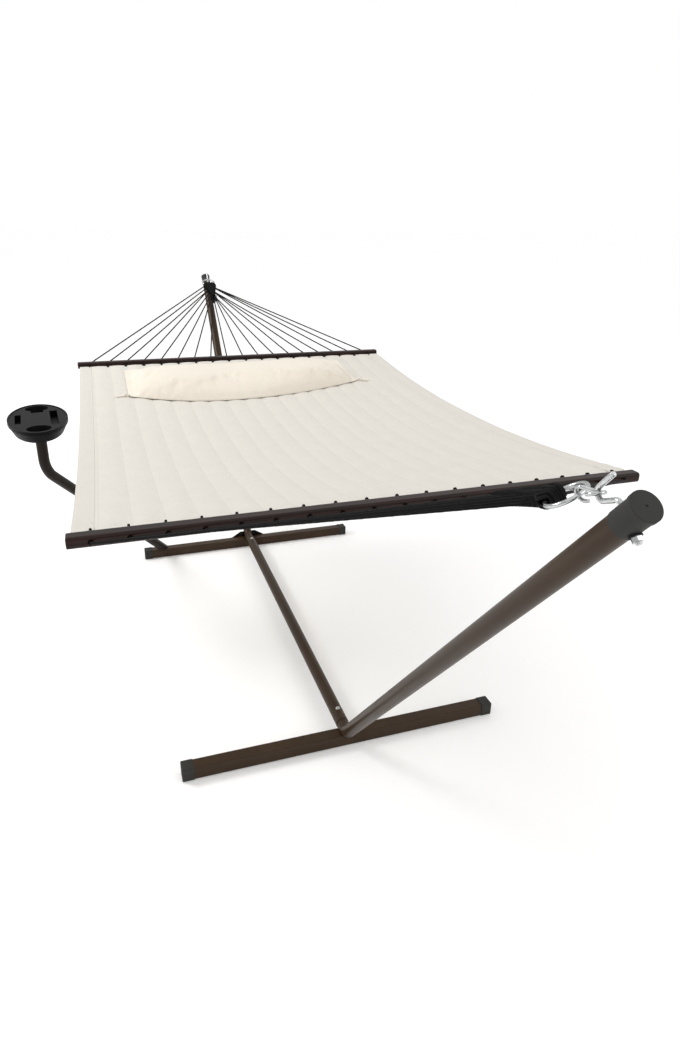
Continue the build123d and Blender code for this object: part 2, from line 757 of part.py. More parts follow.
def make_pole():
    """Tube from the base tube, which it straddles, up to the tray."""
    line = pole_line()
    with BuildPart() as pole:
        with BuildSketch(Plane(origin=line @ 0, z_dir=line % 0)):
            Circle(POLE / 2)
            Circle(POLE / 2 - POLE_WALL, mode=Mode.SUBTRACT)
        sweep(path=line)
        split(bisect_by=Plane.XY.offset(BASE_TOP - POLE_SADDLE), keep=Keep.TOP)
        with BuildSketch(Plane.YZ.offset(-BASE_LENGTH / 2)):
            with Locations((BASE_REACH, BASE_LEVEL)):
                RectangleRounded(BASE_TUBE, BASE_TUBE, BASE_CORNER)
        extrude(amount=BASE_LENGTH / 2, mode=Mode.SUBTRACT)
    return pole.part


def make_pole_stub():
    """Short tube welded on the base tube, inside the pole."""
    line = pole_line()
    outer = POLE - 2 * POLE_WALL - 2 * SLEEVE_GAP
    with BuildPart() as stub:
        with BuildSketch(Plane(origin=line @ 0, z_dir=line % 0)):
            Circle(outer / 2)
            Circle(outer / 2 - STUB_WALL, mode=Mode.SUBTRACT)
        extrude(amount=BASE_TUBE + STUB_LENGTH)
        split(bisect_by=Plane.XY.offset(BASE_TOP), keep=Keep.TOP)
    return stub.part


def tray_plane(depth=0.0):
    """Level plane at a depth under the tray's rim. Local y runs along the tray."""
    turn = radians(TRAY_TURN)
    origin = (*TRAY_CENTRE, TRAY_TOP - depth)
    return Plane(origin=origin, x_dir=(cos(turn), sin(turn), 0), z_dir=(0, 0, 1))


def tray_oval(depth, shrink):
    with BuildSketch(tray_plane(depth)) as oval:
        Ellipse(TRAY_WIDTH / 2 - shrink, TRAY_LENGTH / 2 - shrink)
    return oval.sketch


def make_tray():
    """Moulded oval shell, open underneath, with two cup wells and two pockets let into it."""
    skin = TRAY_RECESS + TRAY_WALL
    wells = [(0, WELL_OFFSET), (0, -WELL_OFFSET)]
    notch_centre = (0, WELL_OFFSET - WELL_FLOOR_RADIUS - NOTCH_REACH / 2)
    pockets = [
        (notch_centre, (NOTCH_WIDTH, NOTCH_REACH), NOTCH_DEPTH),
        (PHONE_SLOT_CENTRE, PHONE_SLOT, SLOT_DEPTH),
        (TABLET_SLOT_CENTRE, TABLET_SLOT, SLOT_DEPTH),
    ]
    with BuildPart() as tray:
        add(tray_oval(0, 0))
        extrude(amount=-TRAY_RIM_HEIGHT)
        add(tray_oval(TRAY_RIM_HEIGHT, TRAY_WALL / 2))
        add(tray_oval(TRAY_HEIGHT, TRAY_TAPER))
        loft(ruled=True)
        add(tray_oval(0, TRAY_LIP))
        extrude(amount=-TRAY_RECESS, mode=Mode.SUBTRACT)
        add(tray_oval(skin, TRAY_WALL))
        extrude(amount=skin - TRAY_RIM_HEIGHT, mode=Mode.SUBTRACT)
        add(tray_oval(TRAY_RIM_HEIGHT, 1.5 * TRAY_WALL))
        add(tray_oval(TRAY_HEIGHT, TRAY_TAPER + TRAY_WALL))
        loft(ruled=True, mode=Mode.SUBTRACT)
        for centre in wells:
            with BuildSketch(tray_plane(TRAY_RECESS)):
                with Locations(centre):
                    Circle(WELL_RADIUS + TRAY_WALL)
            with BuildSketch(tray_plane(TRAY_RECESS + WELL_DEPTH + TRAY_WALL)):
                with Locations(centre):
                    Circle(WELL_FLOOR_RADIUS + TRAY_WALL)
            loft()
        for centre, size, depth in pockets:
            with BuildSketch(tray_plane(TRAY_RECESS)):
                with Locations(centre):
                    Rectangle(size[0] + 2 * TRAY_WALL, size[1] + 2 * TRAY_WALL)
            extrude(amount=-depth - TRAY_WALL)
        with BuildSketch(tray_plane(TRAY_HEIGHT)):
            Circle(TRAY_HUB / 2)
        extrude(amount=TRAY_HEIGHT - TRAY_RECESS)
        for centre in wells:
            with BuildSketch(tray_plane(TRAY_RECESS)):
                with Locations(centre):
                    Circle(WELL_RADIUS)
            with BuildSketch(tray_plane(TRAY_RECESS + WELL_DEPTH)):
                with Locations(centre):
                    Circle(WELL_FLOOR_RADIUS)
            loft(mode=Mode.SUBTRACT)
        for centre, size, depth in pockets:
            with BuildSketch(tray_plane(TRAY_RECESS)):
                with Locations(centre):
                    RectangleRounded(*size, TRAY_WALL)
            extrude(amount=-depth, mode=Mode.SUBTRACT)
        with BuildSketch(tray_plane(TRAY_HEIGHT)):
            with PolarLocations(SCREW_CIRCLE / 2, SCREW_COUNT, start_angle=45):
                Circle(SCREW / 2)
        extrude(amount=SCREW_BITE, mode=Mode.SUBTRACT)
    return tray.part


def make_tray_socket():
    """Round socket under the tray. The pole's end turns in its bore."""
    below = tray_plane(TRAY_HEIGHT + SOCKET_HEIGHT)
    with BuildPart() as socket:
        with BuildSketch(below):
            Circle(SOCKET / 2)
            Circle(POLE / 2 + SWIVEL_GAP, mode=Mode.SUBTRACT)
            with PolarLocations(SCREW_CIRCLE / 2, SCREW_COUNT, start_angle=45):
                Circle(SCREW / 2 + SCREW_GAP, mode=Mode.SUBTRACT)
        extrude(amount=SOCKET_HEIGHT)
        with BuildSketch(below):
            with PolarLocations(SCREW_CIRCLE / 2, SCREW_COUNT, start_angle=45):
                Circle(SCREW_HEAD / 2 + SCREW_GAP)
        extrude(amount=SCREW_BORE_DEPTH, mode=Mode.SUBTRACT)
        with BuildSketch(tray_plane(TRAY_HEIGHT)):
            Circle(POLE / 2 + SWIVEL_GAP)
        extrude(amount=-SOCKET_ROOF)
    return socket.part


def make_tray_screws():
    head = TRAY_HEIGHT + SOCKET_HEIGHT - SCREW_BORE_DEPTH
    with BuildPart() as screws:
        with BuildSketch(tray_plane(head)):
            with PolarLocations(SCREW_CIRCLE / 2, SCREW_COUNT, start_angle=45):
                Circle(SCREW_HEAD / 2)
        extrude(amount=-SCREW_HEAD_HEIGHT)
        with BuildSketch(tray_plane(head)):
            with PolarLocations(SCREW_CIRCLE / 2, SCREW_COUNT, start_angle=45):
                Circle(SCREW / 2)
        extrude(amount=head - TRAY_HEIGHT + SCREW_BITE)
    return screws.part


os.makedirs("parts", exist_ok=True)

save(make_beam(), "centre_beam")
save(make_beam_bolts(), "beam_bolts")
save(make_beam_nuts(), "beam_nuts")
save(make_head_plate(), "head_foot_plate")
for end, side in ENDS.items():
    save(make_base_tube(side), f"{end}_base_tube")
    for name, x_side in SIDES.items():
        save(make_base_cap(side, x_side), f"{end}_{name}_base_cap")
    save(make_elbow(side), f"{end}_elbow")
    save(make_arm(side), f"{end}_arm")
    save(make_arm_cap(side), f"{end}_arm_cap")
    save(make_hook_bolt(side), f"{end}_hook_bolt")
    save(make_hook_washer(side), f"{end}_hook_washer")
    save(make_hook_nut(side), f"{end}_hook_nut")
    save(make_ring(end), f"{end}_ring")
    clew_part = make_clew(end)
    save(clew_part, f"{end}_clew")
    save(make_ropes(end, clew_part), f"{end}_ropes")
    save(make_rope_loops(end), f"{end}_rope_loops")
    save(make_spreader_bar(end), f"{end}_spreader_bar")
    save(make_edge_cord(end), f"{end}_edge_cord")
save(make_s_hook(), "foot_s_hook")
save(make_bed(), "quilted_bed")
save(make_pillow(), "pillow")
save(make_pillow_ties(), "pillow_ties")
save(make_pole(), "tray_pole")
save(make_pole_stub(), "tray_pole_stub")
save(make_tray(), "side_tray")
save(make_tray_socket(), "tray_socket")
save(make_tray_screws(), "tray_screws")
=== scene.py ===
# %% [markdown]
# # A quilted hammock on its steel stand
# This lesson dresses a finished CAD model. The tubes, caps, hooks, rings, bars and tray come from
# the frame and only get their finishes here. The soft goods are modelled: the quilted bed, its
# bindings, the pillow, the ties and every rope. All lengths are metres, +Z is up, and the pillow
# lies at the +Y end, which is called the head end. The other is the foot end.

import json
import math

import bpy
import numpy as np
from mathutils import Matrix, Vector, noise


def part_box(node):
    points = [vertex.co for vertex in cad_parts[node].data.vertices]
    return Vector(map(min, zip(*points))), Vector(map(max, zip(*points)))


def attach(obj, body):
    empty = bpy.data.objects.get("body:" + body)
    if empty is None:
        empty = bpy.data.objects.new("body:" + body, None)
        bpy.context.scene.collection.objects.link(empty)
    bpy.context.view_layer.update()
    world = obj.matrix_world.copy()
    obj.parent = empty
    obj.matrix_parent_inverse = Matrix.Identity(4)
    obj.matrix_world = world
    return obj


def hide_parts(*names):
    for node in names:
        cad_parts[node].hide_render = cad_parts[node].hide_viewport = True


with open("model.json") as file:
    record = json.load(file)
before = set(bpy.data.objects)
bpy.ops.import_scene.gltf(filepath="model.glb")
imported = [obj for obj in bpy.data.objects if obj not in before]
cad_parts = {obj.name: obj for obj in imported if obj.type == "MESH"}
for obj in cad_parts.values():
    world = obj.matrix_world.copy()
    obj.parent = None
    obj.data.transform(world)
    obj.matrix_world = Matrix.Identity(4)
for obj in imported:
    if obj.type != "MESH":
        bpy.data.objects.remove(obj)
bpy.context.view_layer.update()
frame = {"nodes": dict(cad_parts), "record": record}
ENDS = {"head": 1, "foot": -1}

# %% [markdown]
# ## The camera
# The camera stands low near the foot end and looks down the length of the hammock. It is placed
# from given values: a position, a turn to the right, a tilt down and a very small roll. A lens this
# short makes the near arm big and the far end small, which is how the eye sees such a long thing.

# %% Place the camera
SENSOR_MM, LENS_MM = 36, 23.813
SHIFT_RIGHT, SHIFT_UP = 0.0043, -0.02696
CAMERA_PLACE = (-0.5885, -2.3416, 1.5081)
yaw, pitch, roll = 0.3258, 0.3790, 0.0157

ahead = Vector((math.sin(yaw) * math.cos(pitch), math.cos(yaw) * math.cos(pitch), -math.sin(pitch)))
level_right = Vector((math.cos(yaw), -math.sin(yaw), 0))
level_up = level_right.cross(ahead)
right = math.cos(roll) * level_right + math.sin(roll) * level_up
up = math.cos(roll) * level_up - math.sin(roll) * level_right

bpy.ops.object.select_all(action="DESELECT")
bpy.ops.object.camera_add()
camera = bpy.context.object
camera.name = "garden_camera"
facing = Matrix((right, up, -ahead)).transposed().to_4x4()
camera.matrix_world = Matrix.Translation(CAMERA_PLACE) @ facing
camera.data.sensor_width = SENSOR_MM
camera.data.lens = LENS_MM
camera.data.shift_x = SHIFT_RIGHT
camera.data.shift_y = SHIFT_UP
camera.data.clip_end = 300
bpy.context.scene.camera = camera
bpy.context.scene.view_settings.view_transform = "Standard"
print("lens", round(camera.data.lens, 2), "mm")

# %% [markdown]
# ## Finishes
# Every finish starts from a Principled shader. Three small helpers keep the cells short: one
# turns a hex colour into the linear values that a shader wants, one adds a node, and one starts
# a material. Constants sit on the shader's own sockets, and patterns read Object coordinates, or
# a piece's own UV map where the pattern has to follow cloth.


# %% Helpers for finishes
def linear(hex_colour):
    """A hex colour such as 8a7f70, as linear red, green, blue and alpha."""
    shares = [int(hex_colour[i : i + 2], 16) / 255 for i in (0, 2, 4)]
    return [c / 12.92 if c <= 0.04045 else ((c + 0.055) / 1.055) ** 2.4 for c in shares] + [1]


def add_node(tree, kind, inputs=None, **settings):
    """Adds a node. Each input takes a value, or another node's output to link."""
    node = tree.nodes.new(kind)
    for name, value in settings.items():
        setattr(node, name, value)
    for name, value in (inputs or {}).items():
        if isinstance(value, bpy.types.NodeSocket):
            tree.links.new(value, node.inputs[name])
        else:
            node.inputs[name].default_value = value
    return node


def start_finish(name, hex_colour, roughness, **sockets):
    """A material with its Principled shader set. Returns the material, its tree and the shader."""
    material = bpy.data.materials.new(name)
    material.use_nodes = True
    tree = material.node_tree
    shader = tree.nodes["Principled BSDF"]
    shader.inputs["Base Color"].default_value = linear(hex_colour)
    shader.inputs["Roughness"].default_value = roughness
    for socket, value in sockets.items():
        shader.inputs[socket.replace("_", " ")].default_value = value
    return material, tree, shader


# %% [markdown]
# ### Powder coat
# The tubes are mild steel with a brown powder coat. Powder melts into a skin with a faint orange
# peel: soft dimples one or two millimetres wide, which break up the edge of a reflection. The
# colour hardly changes, but the gloss drifts a little where the coat is thicker.


# %% Powder coats
def powder_coat(name, dark, light, roughness):
    material, tree, shader = start_finish(name, dark, roughness, Specular_IOR_Level=0.18)
    place = add_node(tree, "ShaderNodeTexCoord").outputs["Object"]
    cloud = add_node(tree, "ShaderNodeTexNoise", {"Vector": place, "Scale": 9, "Detail": 3})
    blend = add_node(
        tree,
        "ShaderNodeMix",
        {"Factor": cloud.outputs["Fac"], 6: linear(dark), 7: linear(light)},
        data_type="RGBA",
    )
    tree.links.new(blend.outputs[2], shader.inputs["Base Color"])
    gloss = add_node(
        tree,
        "ShaderNodeMapRange",
        {"Value": cloud.outputs["Fac"], "To Min": roughness - 0.06, "To Max": roughness + 0.08},
    )
    tree.links.new(gloss.outputs["Result"], shader.inputs["Roughness"])
    peel = add_node(tree, "ShaderNodeTexNoise", {"Vector": place, "Scale": 420, "Detail": 1})
    bump = add_node(
        tree,
        "ShaderNodeBump",
        {"Height": peel.outputs["Fac"], "Strength": 0.35, "Distance": 0.0002},
    )
    tree.links.new(bump.outputs["Normal"], shader.inputs["Normal"])
    return material


brown_powder = powder_coat("brown_powder_coat_on_steel", "2e2115", "403021", 0.36)
dark_powder = powder_coat("dark_brown_powder_coat_on_steel", "150d07", "1e140b", 0.42)
black_powder = powder_coat("black_powder_coat_on_steel", "100d0c", "181412", 0.42)

# %% [markdown]
# ### Moulded plastic
# The caps and the tray are injection-moulded polypropylene. The mould is spark-eroded, so the
# skin is a fine even grit that scatters light and leaves only a soft sheen. Real grit is about
# 0.2 mm and would not show, so it is drawn 1 mm wide.


# %% Moulded black plastic
def moulded_plastic(name, dark, light, roughness, shine=0.25):
    material, tree, shader = start_finish(name, dark, roughness, IOR=1.49, Specular_IOR_Level=shine)
    place = add_node(tree, "ShaderNodeTexCoord").outputs["Object"]
    grit = add_node(tree, "ShaderNodeTexNoise", {"Vector": place, "Scale": 1000, "Detail": 2})
    haze = add_node(tree, "ShaderNodeTexNoise", {"Vector": place, "Scale": 22, "Detail": 4})
    blend = add_node(
        tree,
        "ShaderNodeMix",
        {"Factor": haze.outputs["Fac"], 6: linear(dark), 7: linear(light)},
        data_type="RGBA",
    )
    tree.links.new(blend.outputs[2], shader.inputs["Base Color"])
    bump = add_node(
        tree, "ShaderNodeBump", {"Height": grit.outputs["Fac"], "Strength": 0.5, "Distance": 0.0002}
    )
    tree.links.new(bump.outputs["Normal"], shader.inputs["Normal"])
    return material


cap_plastic = moulded_plastic("moulded_cap_polypropylene", "282826", "32312e", 0.6)
tray_plastic = moulded_plastic("moulded_tray_polypropylene", "060606", "0b0b0b", 0.5, 0.1)
washer_rubber = moulded_plastic("black_washer_rubber", "0e0e0e", "181818", 0.7)

# %% [markdown]
# ### Zinc plate
# Hooks, rings and bolts are bright zinc-plated steel. Plating follows the drawn wire beneath, so
# it has faint pale patches and a slightly uneven gloss. A metal takes its whole colour from what
# it reflects, so the base colour stays light and only the roughness is patterned.

# %% Zinc-plated steel
zinc, zinc_tree, zinc_shader = start_finish(
    "bright_zinc_plate_on_steel", "c4c6c8", 0.26, Metallic=1
)
zinc_place = add_node(zinc_tree, "ShaderNodeTexCoord").outputs["Object"]
zinc_patch = add_node(
    zinc_tree, "ShaderNodeTexNoise", {"Vector": zinc_place, "Scale": 160, "Detail": 5}
)
zinc_gloss = add_node(
    zinc_tree,
    "ShaderNodeMapRange",
    {"Value": zinc_patch.outputs["Fac"], "To Min": 0.07, "To Max": 0.3},
)
zinc_tint = add_node(
    zinc_tree,
    "ShaderNodeMix",
    {"Factor": zinc_patch.outputs["Fac"], 6: linear("979ba0"), 7: linear("dedfdc")},
    data_type="RGBA",
)
zinc_tree.links.new(zinc_gloss.outputs["Result"], zinc_shader.inputs["Roughness"])
zinc_tree.links.new(zinc_tint.outputs[2], zinc_shader.inputs["Base Color"])

# %% [markdown]
# ### Stained wood
# The spreader bars are a light hardwood stained almost black-brown and sealed with a thin satin
# lacquer. Grain runs the length of the bar: streaks a millimetre or two wide and a few hundred
# long. Noise stretched along X gives that, and the same noise lifts the pores a little.

# %% Dark stained wood
wood, wood_tree, wood_shader = start_finish(
    "dark_stained_hardwood", "1b1210", 0.32, Specular_IOR_Level=0.2
)
wood_place = add_node(wood_tree, "ShaderNodeTexCoord").outputs["Object"]
wood_stretch = add_node(
    wood_tree, "ShaderNodeMapping", {"Vector": wood_place, "Scale": (5, 260, 260)}
).outputs["Vector"]
wood_grain = add_node(
    wood_tree,
    "ShaderNodeTexNoise",
    {"Vector": wood_stretch, "Scale": 1, "Detail": 6, "Roughness": 0.6},
)
wood_streak = add_node(
    wood_tree,
    "ShaderNodeMapRange",
    {"Value": wood_grain.outputs["Fac"], "From Min": 0.35, "From Max": 0.68},
)
wood_tint = add_node(
    wood_tree,
    "ShaderNodeMix",
    {"Factor": wood_streak.outputs["Result"], 6: linear("0b0605"), 7: linear("311a14")},
    data_type="RGBA",
)
wood_bump = add_node(
    wood_tree,
    "ShaderNodeBump",
    {"Height": wood_grain.outputs["Fac"], "Strength": 0.5, "Distance": 0.0005},
)
wood_tree.links.new(wood_tint.outputs[2], wood_shader.inputs["Base Color"])
wood_tree.links.new(wood_bump.outputs["Normal"], wood_shader.inputs["Normal"])

# %% [markdown]
# ### Rope
# The ropes are twisted black polyester. Their strands are modelled, so the finish only needs the
# matt fibre: a dark, rough colour with lighter flecks where worn filaments stand up.

# %% Black rope fibre
rope_fibre, rope_tree, rope_shader = start_finish(
    "black_polyester_rope", "0c0c0d", 0.85, Specular_IOR_Level=0.2
)
rope_place = add_node(rope_tree, "ShaderNodeTexCoord").outputs["Object"]
rope_fleck = add_node(
    rope_tree, "ShaderNodeTexNoise", {"Vector": rope_place, "Scale": 900, "Detail": 3}
)
rope_range = add_node(
    rope_tree,
    "ShaderNodeMapRange",
    {"Value": rope_fleck.outputs["Fac"], "From Min": 0.45, "From Max": 0.75},
)
rope_tint = add_node(
    rope_tree,
    "ShaderNodeMix",
    {"Factor": rope_range.outputs["Result"], 6: linear("080808"), 7: linear("1c1b1c")},
    data_type="RGBA",
)
rope_bump = add_node(
    rope_tree,
    "ShaderNodeBump",
    {"Height": rope_fleck.outputs["Fac"], "Strength": 0.6, "Distance": 0.0004},
)
rope_tree.links.new(rope_tint.outputs[2], rope_shader.inputs["Base Color"])
rope_tree.links.new(rope_bump.outputs["Normal"], rope_shader.inputs["Normal"])

# %% [markdown]
# ### Woven cloth
# The bed and the pillow are a cotton and polyester plain weave. Its threads lie about 0.6 mm
# apart, drawn here at 1.5 mm so that they show. The finish reads the piece's own UV map, which
# is in metres, so that thread and stitches keep their size on the curved cloth. Stitching is a
# row of short dashes: the distance to the nearest seam comes from a ping-pong of the width
# coordinate, and the dashes from a ping-pong of the length. The pillow has no stitch rows, so its
# seam pitch is far wider than the pillow.

# %% Plain weave with stitched seams
THREAD_PITCH = 0.0015
STITCH_LENGTH = 0.0042
QUILT_PITCH = 1.38 / 19.5
STITCH_HALF_WIDTH = 0.0007
HEM_STITCH = 0.042
NO_STITCH_PITCH = 5


def woven_cloth(name, shade, tone, seam_pitch, stitch_tone):
    """Cloth of two shades, with stitch rows seam_pitch apart across its width."""
    material, tree, shader = start_finish(
        name, shade, 0.86, Sheen_Weight=0.2, Sheen_Roughness=0.45, Specular_IOR_Level=0.25
    )
    uv = add_node(tree, "ShaderNodeUVMap", uv_map="cloth").outputs["UV"]
    axes = add_node(tree, "ShaderNodeSeparateXYZ", {"Vector": uv}).outputs
    across, along = axes["X"], axes["Y"]
    warp = add_node(
        tree, "ShaderNodeMath", {0: across, 1: THREAD_PITCH / 2}, operation="PINGPONG"
    )
    weft = add_node(tree, "ShaderNodeMath", {0: along, 1: THREAD_PITCH / 2}, operation="PINGPONG")
    weave = add_node(
        tree, "ShaderNodeMath", {0: warp.outputs[0], 1: weft.outputs[0]}, operation="ADD"
    )
    to_seam = add_node(tree, "ShaderNodeMath", {0: across, 1: seam_pitch / 2}, operation="PINGPONG")
    on_seam = add_node(
        tree,
        "ShaderNodeMath",
        {0: to_seam.outputs[0], 1: STITCH_HALF_WIDTH},
        operation="LESS_THAN",
    )
    dash = add_node(tree, "ShaderNodeMath", {0: along, 1: STITCH_LENGTH / 2}, operation="PINGPONG")
    in_dash = add_node(
        tree,
        "ShaderNodeMath",
        {0: dash.outputs[0], 1: STITCH_LENGTH * 0.14},
        operation="GREATER_THAN",
    )
    stitch = add_node(
        tree, "ShaderNodeMath", {0: on_seam.outputs[0], 1: in_dash.outputs[0]}, operation="MULTIPLY"
    )
    cloud = add_node(tree, "ShaderNodeTexNoise", {"Vector": uv, "Scale": 14, "Detail": 5})
    cloth_tint = add_node(
        tree,
        "ShaderNodeMix",
        {"Factor": cloud.outputs["Fac"], 6: linear(shade), 7: linear(tone)},
        data_type="RGBA",
    )
    thread_tint = add_node(
        tree,
        "ShaderNodeMix",
        {"Factor": stitch.outputs[0], 6: cloth_tint.outputs[2], 7: linear(stitch_tone)},
        data_type="RGBA",
    )
    tree.links.new(thread_tint.outputs[2], shader.inputs["Base Color"])
    pull = add_node(tree, "ShaderNodeMapping", {"Vector": uv, "Scale": (26, 75, 1)})
    gather = add_node(
        tree, "ShaderNodeTexNoise", {"Vector": pull.outputs["Vector"], "Scale": 1, "Detail": 3}
    )
    close = add_node(
        tree,
        "ShaderNodeMapRange",
        {"Value": to_seam.outputs[0], "From Max": 0.034, "To Min": 1.0, "To Max": 0.35},
    )
    gathered = add_node(
        tree,
        "ShaderNodeMath",
        {0: gather.outputs["Fac"], 1: close.outputs["Result"]},
        operation="MULTIPLY",
    )
    crease = add_node(tree, "ShaderNodeTexNoise", {"Vector": uv, "Scale": 38, "Detail": 5})
    rumple = add_node(
        tree,
        "ShaderNodeMath",
        {0: gathered.outputs[0], 1: crease.outputs["Fac"]},
        operation="ADD",
    )
    bump_weave = add_node(
        tree, "ShaderNodeBump", {"Height": weave.outputs[0], "Strength": 0.3, "Distance": 1}
    )
    bump = add_node(
        tree,
        "ShaderNodeBump",
        {
            "Height": rumple.outputs[0],
            "Strength": 0.6,
            "Distance": 0.0030,
            "Normal": bump_weave.outputs["Normal"],
        },
    )
    tree.links.new(bump.outputs["Normal"], shader.inputs["Normal"])
    return material


bed_cloth = woven_cloth("quilted_plain_weave", "d0cbc3", "d8d3c9", QUILT_PITCH, "c9c3b8")
pillow_cloth = woven_cloth("pillow_plain_weave", "e1d8ca", "e7dfd1", NO_STITCH_PITCH, "cabfae")
hem_cloth = woven_cloth("folded_hem_plain_weave", "cfcac2", "d6d1c8", 2 * HEM_STITCH, "c9c3b8")

# %% Dress the CAD nodes
FINISH_OF_SLOT = {
    "brown_powder_coat": brown_powder,
    "black_powder_coat": black_powder,
    "black_plastic": cap_plastic,
    "black_rubber_washer": washer_rubber,
    "zinc_steel": zinc,
    "black_rope": rope_fibre,
    "stained_wood": wood,
    "quilted_fabric": bed_cloth,
    "pillow_fabric": pillow_cloth,
}
for row in frame["record"]["subparts"]:
    node_name = row["node"]
    finish = FINISH_OF_SLOT[row["material_slot"]]
    if node_name in ("side_tray", "tray_socket"):
        finish = tray_plastic
    if node_name in ("tray_pole", "tray_pole_stub"):
        finish = dark_powder
    mesh = frame["nodes"][node_name].data
    mesh.materials.clear()
    mesh.materials.append(finish)
print("finishes", len(bpy.data.materials))

# %% [markdown]
# ## The quilted bed
# The bed is two layers of cloth with thin wadding between, quilted in eighteen channels that run
# from bar to bar. It could be simulated, but the channels are regular and the sag is known, so
# it is shaped directly: a fine grid becomes two layers, and each point is lifted by how full the
# bed is there. Fullness is least at a seam, most in mid-channel, and small in the hems.

# %% The bed's sizes
BED_HALF_WIDTH = 0.690
ROPE_COUNT = 18
ROPE_PITCH = 1.304 / (ROPE_COUNT - 1)
BED_THICKNESS = 0.012
SIDE_SAG = 0.060
MIDDLE_SAG = 0.030
HEM = 0.027
HEAD_DROP, HEAD_DROP_REACH = 0.009, 0.06
BAR_LEVEL = sum(corner.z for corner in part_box("head_spreader_bar")) / 2
HEM_EDGE = {
    "head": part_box("quilted_bed")[1].y,
    "foot": -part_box("quilted_bed")[0].y,
}
BED_LENGTH = HEM_EDGE["head"] + HEM_EDGE["foot"]
SAG_START, SAG_END = -HEM_EDGE["foot"] + HEM, HEM_EDGE["head"] - HEM
print("hem edges", HEM_EDGE, "bar level", round(BAR_LEVEL, 4))


def rope_x(index):
    """Where a rope's hole lies along the bars."""
    return (index - (ROPE_COUNT - 1) / 2) * ROPE_PITCH


def slack_below_bar(y):
    """At the head end the loops are slack, so the hem hangs a little below the bar's holes."""
    return HEAD_DROP * np.exp(-(HEM_EDGE["head"] - y) / HEAD_DROP_REACH)


def bed_surface(x, y):
    """Height of the bed's flat top skin, from arrays of places."""
    t = np.clip((y - SAG_START) / (SAG_END - SAG_START), 0, 1)
    dip = 4 * t * (1 - t)
    middle = 0.0005 + MIDDLE_SAG * dip
    radius = (BED_HALF_WIDTH**2 + middle**2) / (2 * middle)
    drop = np.sqrt(radius**2 - x**2) - np.sqrt(radius**2 - BED_HALF_WIDTH**2)
    return BAR_LEVEL + BED_THICKNESS / 2 - SIDE_SAG * dip - drop - slack_below_bar(y)


# %% Helpers for modelling
def start_piece(add_primitive, name, **settings):
    """Adds one primitive with nothing else selected, and names it."""
    bpy.ops.object.select_all(action="DESELECT")
    add_primitive(**settings)
    piece = bpy.context.object
    piece.name = piece.data.name = name
    return piece


def select_only(*pieces):
    """Selects these pieces and nothing else. The first one is the active one."""
    bpy.ops.object.select_all(action="DESELECT")
    for piece in pieces:
        piece.select_set(True)
    bpy.context.view_layer.objects.active = pieces[0]


def join(pieces, name):
    """Joins pieces into the first one and names it."""
    select_only(*pieces)
    if len(pieces) > 1:
        bpy.ops.object.join()
    pieces[0].name = pieces[0].data.name = name
    return pieces[0]


def apply_modifier(piece, kind, **settings):
    """Adds a modifier, sets it and applies it."""
    select_only(piece)
    modifier = piece.modifiers.new(kind.lower(), kind)
    for key, value in settings.items():
        setattr(modifier, key, value)
    bpy.ops.object.modifier_apply(modifier=modifier.name)


def points_of(piece):
    """The places of a mesh's points, as an array."""
    flat = np.zeros(len(piece.data.vertices) * 3)
    piece.data.vertices.foreach_get("co", flat)
    return flat.reshape(-1, 3)


def set_points(piece, places):
    piece.data.vertices.foreach_set("co", np.asarray(places, float).ravel())
    piece.data.update()


def store_cloth_uv(piece, across, along):
    """Writes a UV map called cloth, in metres, from two values for each point."""
    layer = piece.data.uv_layers.get("cloth") or piece.data.uv_layers.new(name="cloth")
    corner = np.zeros(len(piece.data.loops), int)
    piece.data.loops.foreach_get("vertex_index", corner)
    layer.data.foreach_set("uv", np.stack([across[corner], along[corner]], 1).ravel())


def finish_piece(piece, material, body, smooth_angle=180):
    """Faces outwards, smooth shading, one material, and the body that it rides on."""
    select_only(piece)
    bpy.ops.object.mode_set(mode="EDIT")
    bpy.ops.mesh.select_all(action="SELECT")
    bpy.ops.mesh.normals_make_consistent(inside=False)
    bpy.ops.object.mode_set(mode="OBJECT")
    bpy.ops.object.shade_smooth_by_angle(angle=math.radians(smooth_angle))
    piece.data.materials.clear()
    piece.data.materials.append(material)
    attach(piece, body)
    print(piece.name, len(piece.data.polygons), "faces")


def ripple(places, scale, seed):
    """Smooth noise between -1 and 1 for an array of places, the same each run."""
    shift = Vector((seed, 2.3 * seed, -1.7 * seed))
    return np.array([noise.noise(Vector(p) * scale + shift) for p in places])


# %% [markdown]
# ### Rows and columns
# Columns lie 4.4 mm apart, so that each channel has sixteen and a rope loop's notch is two wide.
# Rows are close together in the hems, where the cord's tunnel has to look round, and about 14 mm
# apart between. The notches are cut out before the sheet gets its two layers.

# %% Lay out the grid
COLUMNS, ROWS = 312, 150
HEM_ROWS = [0, 0.0015, 0.004, 0.007, 0.011, 0.0145, 0.0185]
HEM_ROWS += [0.0215, 0.0245, 0.027, 0.0295, 0.034, 0.041]
NOTCH_DEPTH = 0.0185
NOTCH_HALF_WIDTH = 0.0050


def row_places():
    """Places of the rows from the foot hem's edge to the head hem's."""
    low, high = -HEM_EDGE["foot"], HEM_EDGE["head"]
    count = ROWS + 1 - 2 * len(HEM_ROWS)
    middle = np.linspace(low + HEM_ROWS[-1], high - HEM_ROWS[-1], count + 2)[1:-1]
    return np.concatenate([low + np.array(HEM_ROWS), middle, high - np.array(HEM_ROWS)[::-1]])


